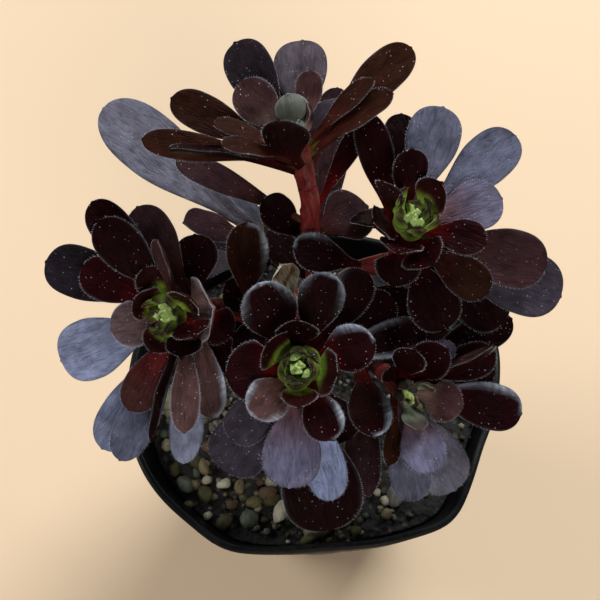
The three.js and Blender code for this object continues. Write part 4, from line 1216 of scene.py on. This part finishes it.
# %% Grit
# Small bits lie over the whole pot, and a drift of coarser ones at its front.
GRIT_COUNT, FRONT_COUNT, GRIT_RING = 560, 150, 41
count = GRIT_COUNT + FRONT_COUNT
dice = np.random.default_rng(12)
coarse = np.arange(count) >= GRIT_COUNT
bearing = np.where(coarse, np.radians(dice.uniform(-172, -62, count)), dice.uniform(0, 2 * np.pi, count))
radius = np.where(coarse, dice.uniform(20, GRIT_RING, count),
                  GRIT_RING * np.sqrt(dice.uniform(0.02, 1, count)))
size = np.where(coarse, 0.8, 0.5) + 1.0 * dice.uniform(0, 1, count) ** 2.5
spots = np.stack([radius * np.cos(bearing), radius * RIM_DEPTH * np.sin(bearing),
                  soil_height(radius) + 0.35 * size], -1)
shape = size[:, None] * dice.uniform(0.65, 1.2, (count, 3)) * [1, 1, 0.75]
points, faces, each = pebbles(spots, shape, dice.uniform(0, 3.1, count), 13, 1)
colour = np.repeat(STONE_TONES[dice.integers(0, len(STONE_TONES), count)] * 0.75, each, 0)
maps = points + np.repeat(np.arange(count), each)[:, None] * 3.1
grit = add_mesh("grit", points, [faces], colour, maps, np.full(len(points), 0.65))
STONE_SKIN = plant_skin("river stone", speck_share=0.05, crease_shade_depth=0.25, bump=0.15, level=0.3)
place(stones, STONE_SKIN, "soil", "soil")
place(grit, STONE_SKIN, "soil")

# %% [markdown]
# The plant stands on a plain pale floor. Most of its leaves are nearly black, so what they mirror matters
# more than what falls on them: a large cool softbox behind and to the right draws their edges, a weaker
# one in front keeps their faces dark, and the room is dim.

# %% Floor and light
def softbox(name, at, target, size, power, tint):
    """A square area light at a point, aimed at another; lengths in metres."""
    lamp = bpy.data.lights.new(name, "AREA")
    lamp.shape, lamp.size, lamp.energy, lamp.color = "SQUARE", size, power, tint
    obj = bpy.data.objects.new(name, lamp)
    obj.location = at
    obj.rotation_euler = (Vector(target) - Vector(at)).to_track_quat("-Z", "Y").to_euler()
    bpy.context.scene.collection.objects.link(obj)


FLOOR_HALF = 3000.0  # mm
corners = FLOOR_HALF * np.array([[-1.0, -1, 0], [1, -1, 0], [1, 1, 0], [-1, 1, 0]])
floor = add_mesh("floor", corners, [np.array([[0, 1, 2, 3]])], smooth=False)
FLOOR_FINISH, tree, shader = new_material("pale floor")
soft = add_node(tree, "ShaderNodeTexNoise", Vector=object_place(tree), Scale=3.0, Detail=2.0).outputs[0]
pale = mix_colours(tree, soft, (0.80, 0.58, 0.37, 1), (0.86, 0.64, 0.42, 1))
tree.links.new(pale, shader.inputs["Base Color"])
shader.inputs["Roughness"].default_value = 0.8
floor.data.materials.append(FLOOR_FINISH)

middle = (0, 0, 0.08)  # what every softbox is aimed at
softbox("back softbox", (0.5, 0.9, 1.1), middle, 0.7, 22, (0.90, 0.95, 1.0))
softbox("left softbox", (-1.1, 0.3, 0.9), middle, 0.7, 9, (0.95, 0.97, 1.0))
softbox("front softbox", (0.3, -1.2, 0.8), middle, 0.6, 7, (1.0, 0.97, 0.93))
world = bpy.data.worlds.new("dim room")
world.use_nodes = True
room = world.node_tree.nodes["Background"]
room.inputs["Color"].default_value = (0.80, 0.88, 1.0, 1)
room.inputs["Strength"].default_value = 0.13
bpy.context.scene.world = world
bpy.context.scene.view_settings.view_transform = "Standard"

# %% [markdown]
# The camera looks down on the crown, square to its leaning face, from close by. So it is turned by the
# crown's own lean, and the far rim of the pot looks narrower than the near one.

# %% Camera
lens = bpy.data.cameras.new("camera")
lens.lens, lens.sensor_width, lens.clip_start, lens.clip_end = 54.0, 36.0, 0.01, 20.0
camera = bpy.data.objects.new("camera", lens)
camera.location = (-0.00434, -0.08527, 0.2728)
camera.rotation_euler = (LEAN, 0, 0)
bpy.context.scene.collection.objects.link(camera)
bpy.context.scene.camera = camera
print("camera at", tuple(camera.location))
